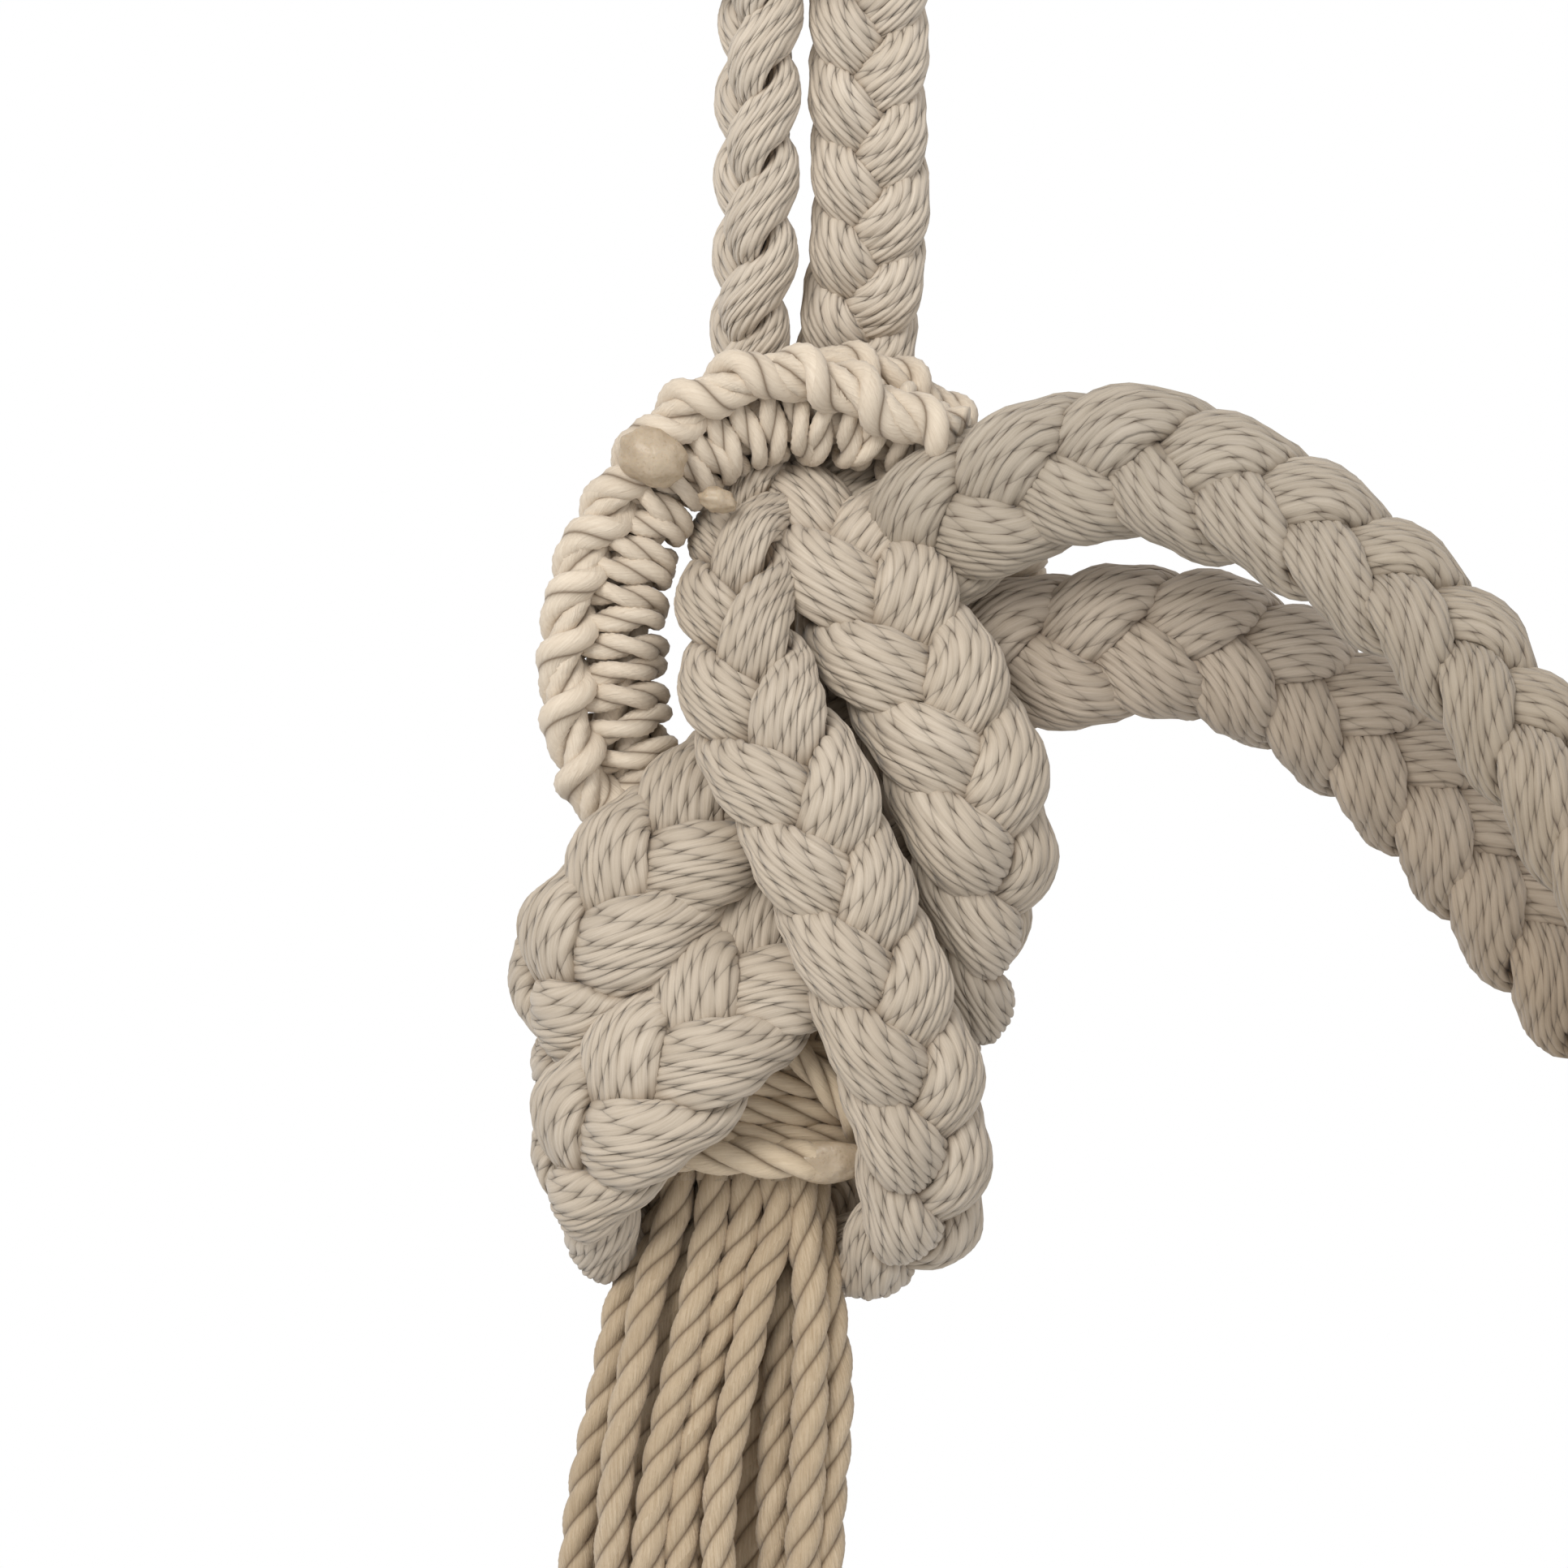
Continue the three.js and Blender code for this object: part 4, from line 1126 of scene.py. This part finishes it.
# Each cord's (u, y) at five heights, from the binding to its cut end, and the last height.
TASSEL_HEIGHTS = (-32, -45, -60, -80)
TASSEL_ROUTES = [
    ((-15.5, -3), (-20, -5), (-22.3, -6), (-25, -7), (-31, -9), -129.5),
    ((-9.5, -4), (-12, -6), (-15, -7), (-19, -7), (-24, -9), -134.5),
    ((-4, -3), (-7.5, -4.5), (-11, -5), (-14, -6), (-15, -9), -129.6),
    ((1.3, -4), (-2.4, -6), (-5.5, -7), (-8, -8), (-6, -9), -134.3),
    ((7.5, 1), (9, 0), (9.9, -2), (9.3, -3), (9.5, -6), -129.9),
    ((-17, 3), (-23.5, 2), (-26.5, 1), (-30, 1), (-34, 1), -126.5),
    ((-10.5, 2), (-15.5, 1), (-18, 1), (-21.3, 1), (-23, 1), -131.5),
    ((1.5, 3), (1.6, 1), (1.2, -1), (0.8, -1.5), (0.4, 0), -126.6),
    ((5, -3), (6.6, -5), (6, -6), (5.2, -6), (5, -6), -131.3),
    ((-12, 8), (-18, 8), (-21, 9), (-26.5, 9), (-29, 11), -128.5),
    ((-4.5, 8), (-7.4, 7), (-8.6, 6), (-10.5, 6), (-10, 10), -133.5),
    ((3, 7), (1.5, 6), (-1.2, 5), (-3.6, 5), (-3.5, 9), -128.6),
]


def build_tassel(side, mirrored):
    rng = np.random.default_rng(31)
    hand = -1 if mirrored else 1
    bundle = Pieces()
    for number, route in enumerate(TASSEL_ROUTES, 1):
        heights = [*TASSEL_HEIGHTS, route[5]]
        points = [in_gather(u, y, w) for (u, y), w in zip(route[:5], heights)]
        top = in_gather(NECK_U + 0.9 * (route[0][0] - NECK_U), route[0][1], -24)
        line = through([top, *points])
        even, along = spaced(line, 2.0)
        for axis in (0, 1):
            wave = rng.uniform(0.25, 0.5) * np.sin(along / rng.uniform(6.5, 10) + rng.uniform(0, TAU))
            even[:, axis] += wave * np.clip(along / 30, 0, 1)
        pieces = Pieces()
        size = CORD * rng.uniform(0.97, 1.06)
        cord_route = rope(pieces, even, size, 400 + number, step=COARSE_STEP if mirrored else 1.1,
                          turn=rng.uniform(0, TAU), pitch=rng.uniform(19, 22), hand=hand, lobes=0.18)
        piece = pieces.object(f"{side}_tassel_{number:02d}", PLIED, mirrored)
        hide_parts(f"{side}_tassel_cord_{number:02d}")
        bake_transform(piece)
        rope(bundle, [top + [0, 0, -2], top + [0, 0, 26]], CORD, 440 + number, step=COARSE_STEP, hand=hand)
    finished(bundle, f"{side}_neck_bundle", PLIED, [f"{side}_neck_core"], mirrored)


for side, mirrored in SIDES:
    build_tassel(side, mirrored)

# ---------- Cradle ties ----------

TIE_X = 28
TIE_WIDE = 16.6
TIE_THICK = 11.6
TIE_LEAN = math.pi / 4
TIE_WAIST = 4
TIE_BENDS = 6


def at_x(route, x):
    return route[np.argmin(np.abs(route[:, 0] - x))]


def build_tie(side, x):
    front, back = at_x(front_route, x), at_x(back_route, x)
    middle_z = (front[2] + back[2]) / 2
    points = []

    def round_arm(arm, start, lean):
        for i in range(TIE_BENDS + 1):
            turn = math.pi * (start - 1.2 * i / TIE_BENDS)
            reach = 1 / math.hypot(math.cos(turn - lean) / TIE_WIDE, math.sin(turn - lean) / TIE_THICK)
            points.append([x, arm[1] + reach * math.cos(turn), arm[2] + reach * math.sin(turn)])

    round_arm(front, 1.6, -TIE_LEAN)
    points.append([x, -9, middle_z + TIE_WAIST])
    points.append([x, 9, middle_z + TIE_WAIST])
    round_arm(back, 0.6, TIE_LEAN)
    points.append([x, 9, middle_z - TIE_WAIST])
    points.append([x, -9, middle_z - TIE_WAIST])
    wrapping(f"{side}_tie_cord", [f"cradle_tie_{side}"], through(points), CORD, HITCHED, "cream_cord",
             taper=2.0)
    seizing = coil((x, 0, middle_z), "y", 5.6, 9.4, 5, 4.6)
    wrapping(f"{side}_tie_seizing", [], seizing, FINE_CORD, HITCHED, "cream_cord")


build_tie("left", -TIE_X)
build_tie("right", TIE_X)

# ---------- Hanger: ring, cords, dowel and knobs ----------

RING_RADIUS = 22.0
RING_BAR = 6.0
DOWEL_RADIUS = 7.0
DOWEL_HALF_LENGTH = 244.0
DOWEL_HITCH_X = 216.0
KNOB_RADIUS = 12.5
KNOB_LENGTH = 20.0
KNOB_SOCKET = 12.0
RING_HITCH_RADIUS = 6.2
DOWEL_HITCH_RADIUS = 10.4
LEG_X = 5.04  # the hanging cords' tops, beside the ring
TOP_Z = RING_BOTTOM_Z - 14.4
LOW_Z = DOWEL_Z + 16.9

# The (radius, place along the dowel) outline of a knob's socket and collar.
COLLAR = [
    (DOWEL_RADIUS + 0.3, KNOB_SOCKET),
    (DOWEL_RADIUS + 0.3, 0.4),
    (7.6, 0),
    (8.9, 0),
    (9.3, 0.4),
    (9.3, 1.4),
    (8.8, 1.8),
]


def plain_object(name, rings, material, node_name, body):
    """One closed tube through rings of points."""
    pieces = Pieces()
    along = np.arange(len(rings), dtype=float)
    pieces.tube(rings, along, np.arange(rings.shape[1] + 1) / rings.shape[1], 0)
    finished(pieces, name, material, [node_name], body=body)


def build_ring():
    turns = np.linspace(0, TAU, 96, endpoint=False)
    around = np.linspace(0, TAU, 24, endpoint=False)
    centre_z = -(RING_RADIUS - RING_BAR / 2)
    # The bar is butt welded at the ring's side, which leaves a low bead.
    bead = 1 + 0.05 * np.exp(-(((turns - 0.5) / 0.12) ** 2))
    bar = RING_BAR / 2 * bead[:, None]
    reach = RING_RADIUS + bar * np.cos(around)[None, :]
    rings = np.stack([
        reach * np.cos(turns)[:, None], bar * np.sin(around)[None, :],
        centre_z + reach * np.sin(turns)[:, None],
    ], axis=-1)
    rings = np.concatenate([rings, rings[:1]])
    plain_object("steel_ring", rings, STEEL, "hanging_ring", "ring")


def build_dowel():
    x = np.linspace(-DOWEL_HALF_LENGTH, DOWEL_HALF_LENGTH, 160)
    around = np.linspace(0, TAU, 40, endpoint=False)
    radius = DOWEL_RADIUS + 0.05 * np.sin(x / 31)[:, None] + 0.04 * np.sin(3 * around)[None, :]
    rings = np.stack([
        x[:, None] * np.ones(40), radius * np.cos(around), DOWEL_Z + radius * np.sin(around),
    ], axis=-1)
    plain_object("dowel_rod", rings, WOOD, "dowel", "hanger")


def build_knob(side, sign):
    """A turned knob, with a collar and a groove by the dowel."""
    turn = np.linspace(-math.pi / 4, math.pi / 2, 26)
    radius = KNOB_RADIUS * np.cos(turn)
    out = KNOB_LENGTH * (0.42 + 0.58 * np.sin(turn))
    radii = np.r_[[size for size, _ in COLLAR], radius[3:-1], 0.3]
    places = np.r_[[place for _, place in COLLAR], out[3:-1], KNOB_LENGTH]
    around = np.linspace(0, TAU, 48, endpoint=False)
    x = sign * (DOWEL_HALF_LENGTH - KNOB_SOCKET + 0.35 + places)
    rings = np.stack([
        x[:, None] * np.ones(48), radii[:, None] * np.cos(sign * around),
        DOWEL_Z + radii[:, None] * np.sin(sign * around),
    ], axis=-1)
    plain_object(f"{side}_turned_knob", rings, WOOD, f"dowel_knob_{side}", "hanger")


def hitch_ring():
    middle = (0, 0, RING_BOTTOM_Z)
    turns = coil(middle, "x", RING_HITCH_RADIUS, RING_HITCH_RADIUS, 2, CORD, start=-math.pi / 2)
    hitch = np.vstack([[-LEG_X, 0, TOP_Z + 1], turns, [LEG_X, 0, TOP_Z + 1]])
    pieces = Pieces()
    rope(pieces, through(hitch, 4), CORD, 500, step=1.2)
    finished(pieces, "ring_hitch_cord", HITCHED, ["ring_hitch"], body="hanger")


def build_hanging_cord(side, sign):
    ends = np.array([[sign * LEG_X, 0, TOP_Z], [sign * (DOWEL_HITCH_X - 4), 0, LOW_Z]])
    pieces = Pieces()
    route = rope(pieces, ends, CORD, 510, step=1.2, pitch=19)
    nodes = [f"hanging_cord_{side}"]
    piece = finished(pieces, f"{side}_hanging_cord", HITCHED, nodes, body="hanger")
    middle = (DOWEL_HITCH_X, 0, DOWEL_Z)
    turns = coil(middle, "x", DOWEL_HITCH_RADIUS, DOWEL_HITCH_RADIUS, 2.25, CORD, start=math.pi / 2)
    turns = turns * [sign, 1, 1]
    lead = (ends[1] + turns[0]) / 2 + [0, 0, 1.0]
    line = through(np.vstack([ends[1:], [lead], turns]), 4)
    wrapping(f"{side}_dowel_turns", [f"dowel_hitch_{side}"], line, CORD, HITCHED, "cream_cord", body="hanger")


build_ring()
build_dowel()
build_knob("left", -1)
build_knob("right", 1)
hitch_ring()
build_hanging_cord("left", -1)
build_hanging_cord("right", 1)
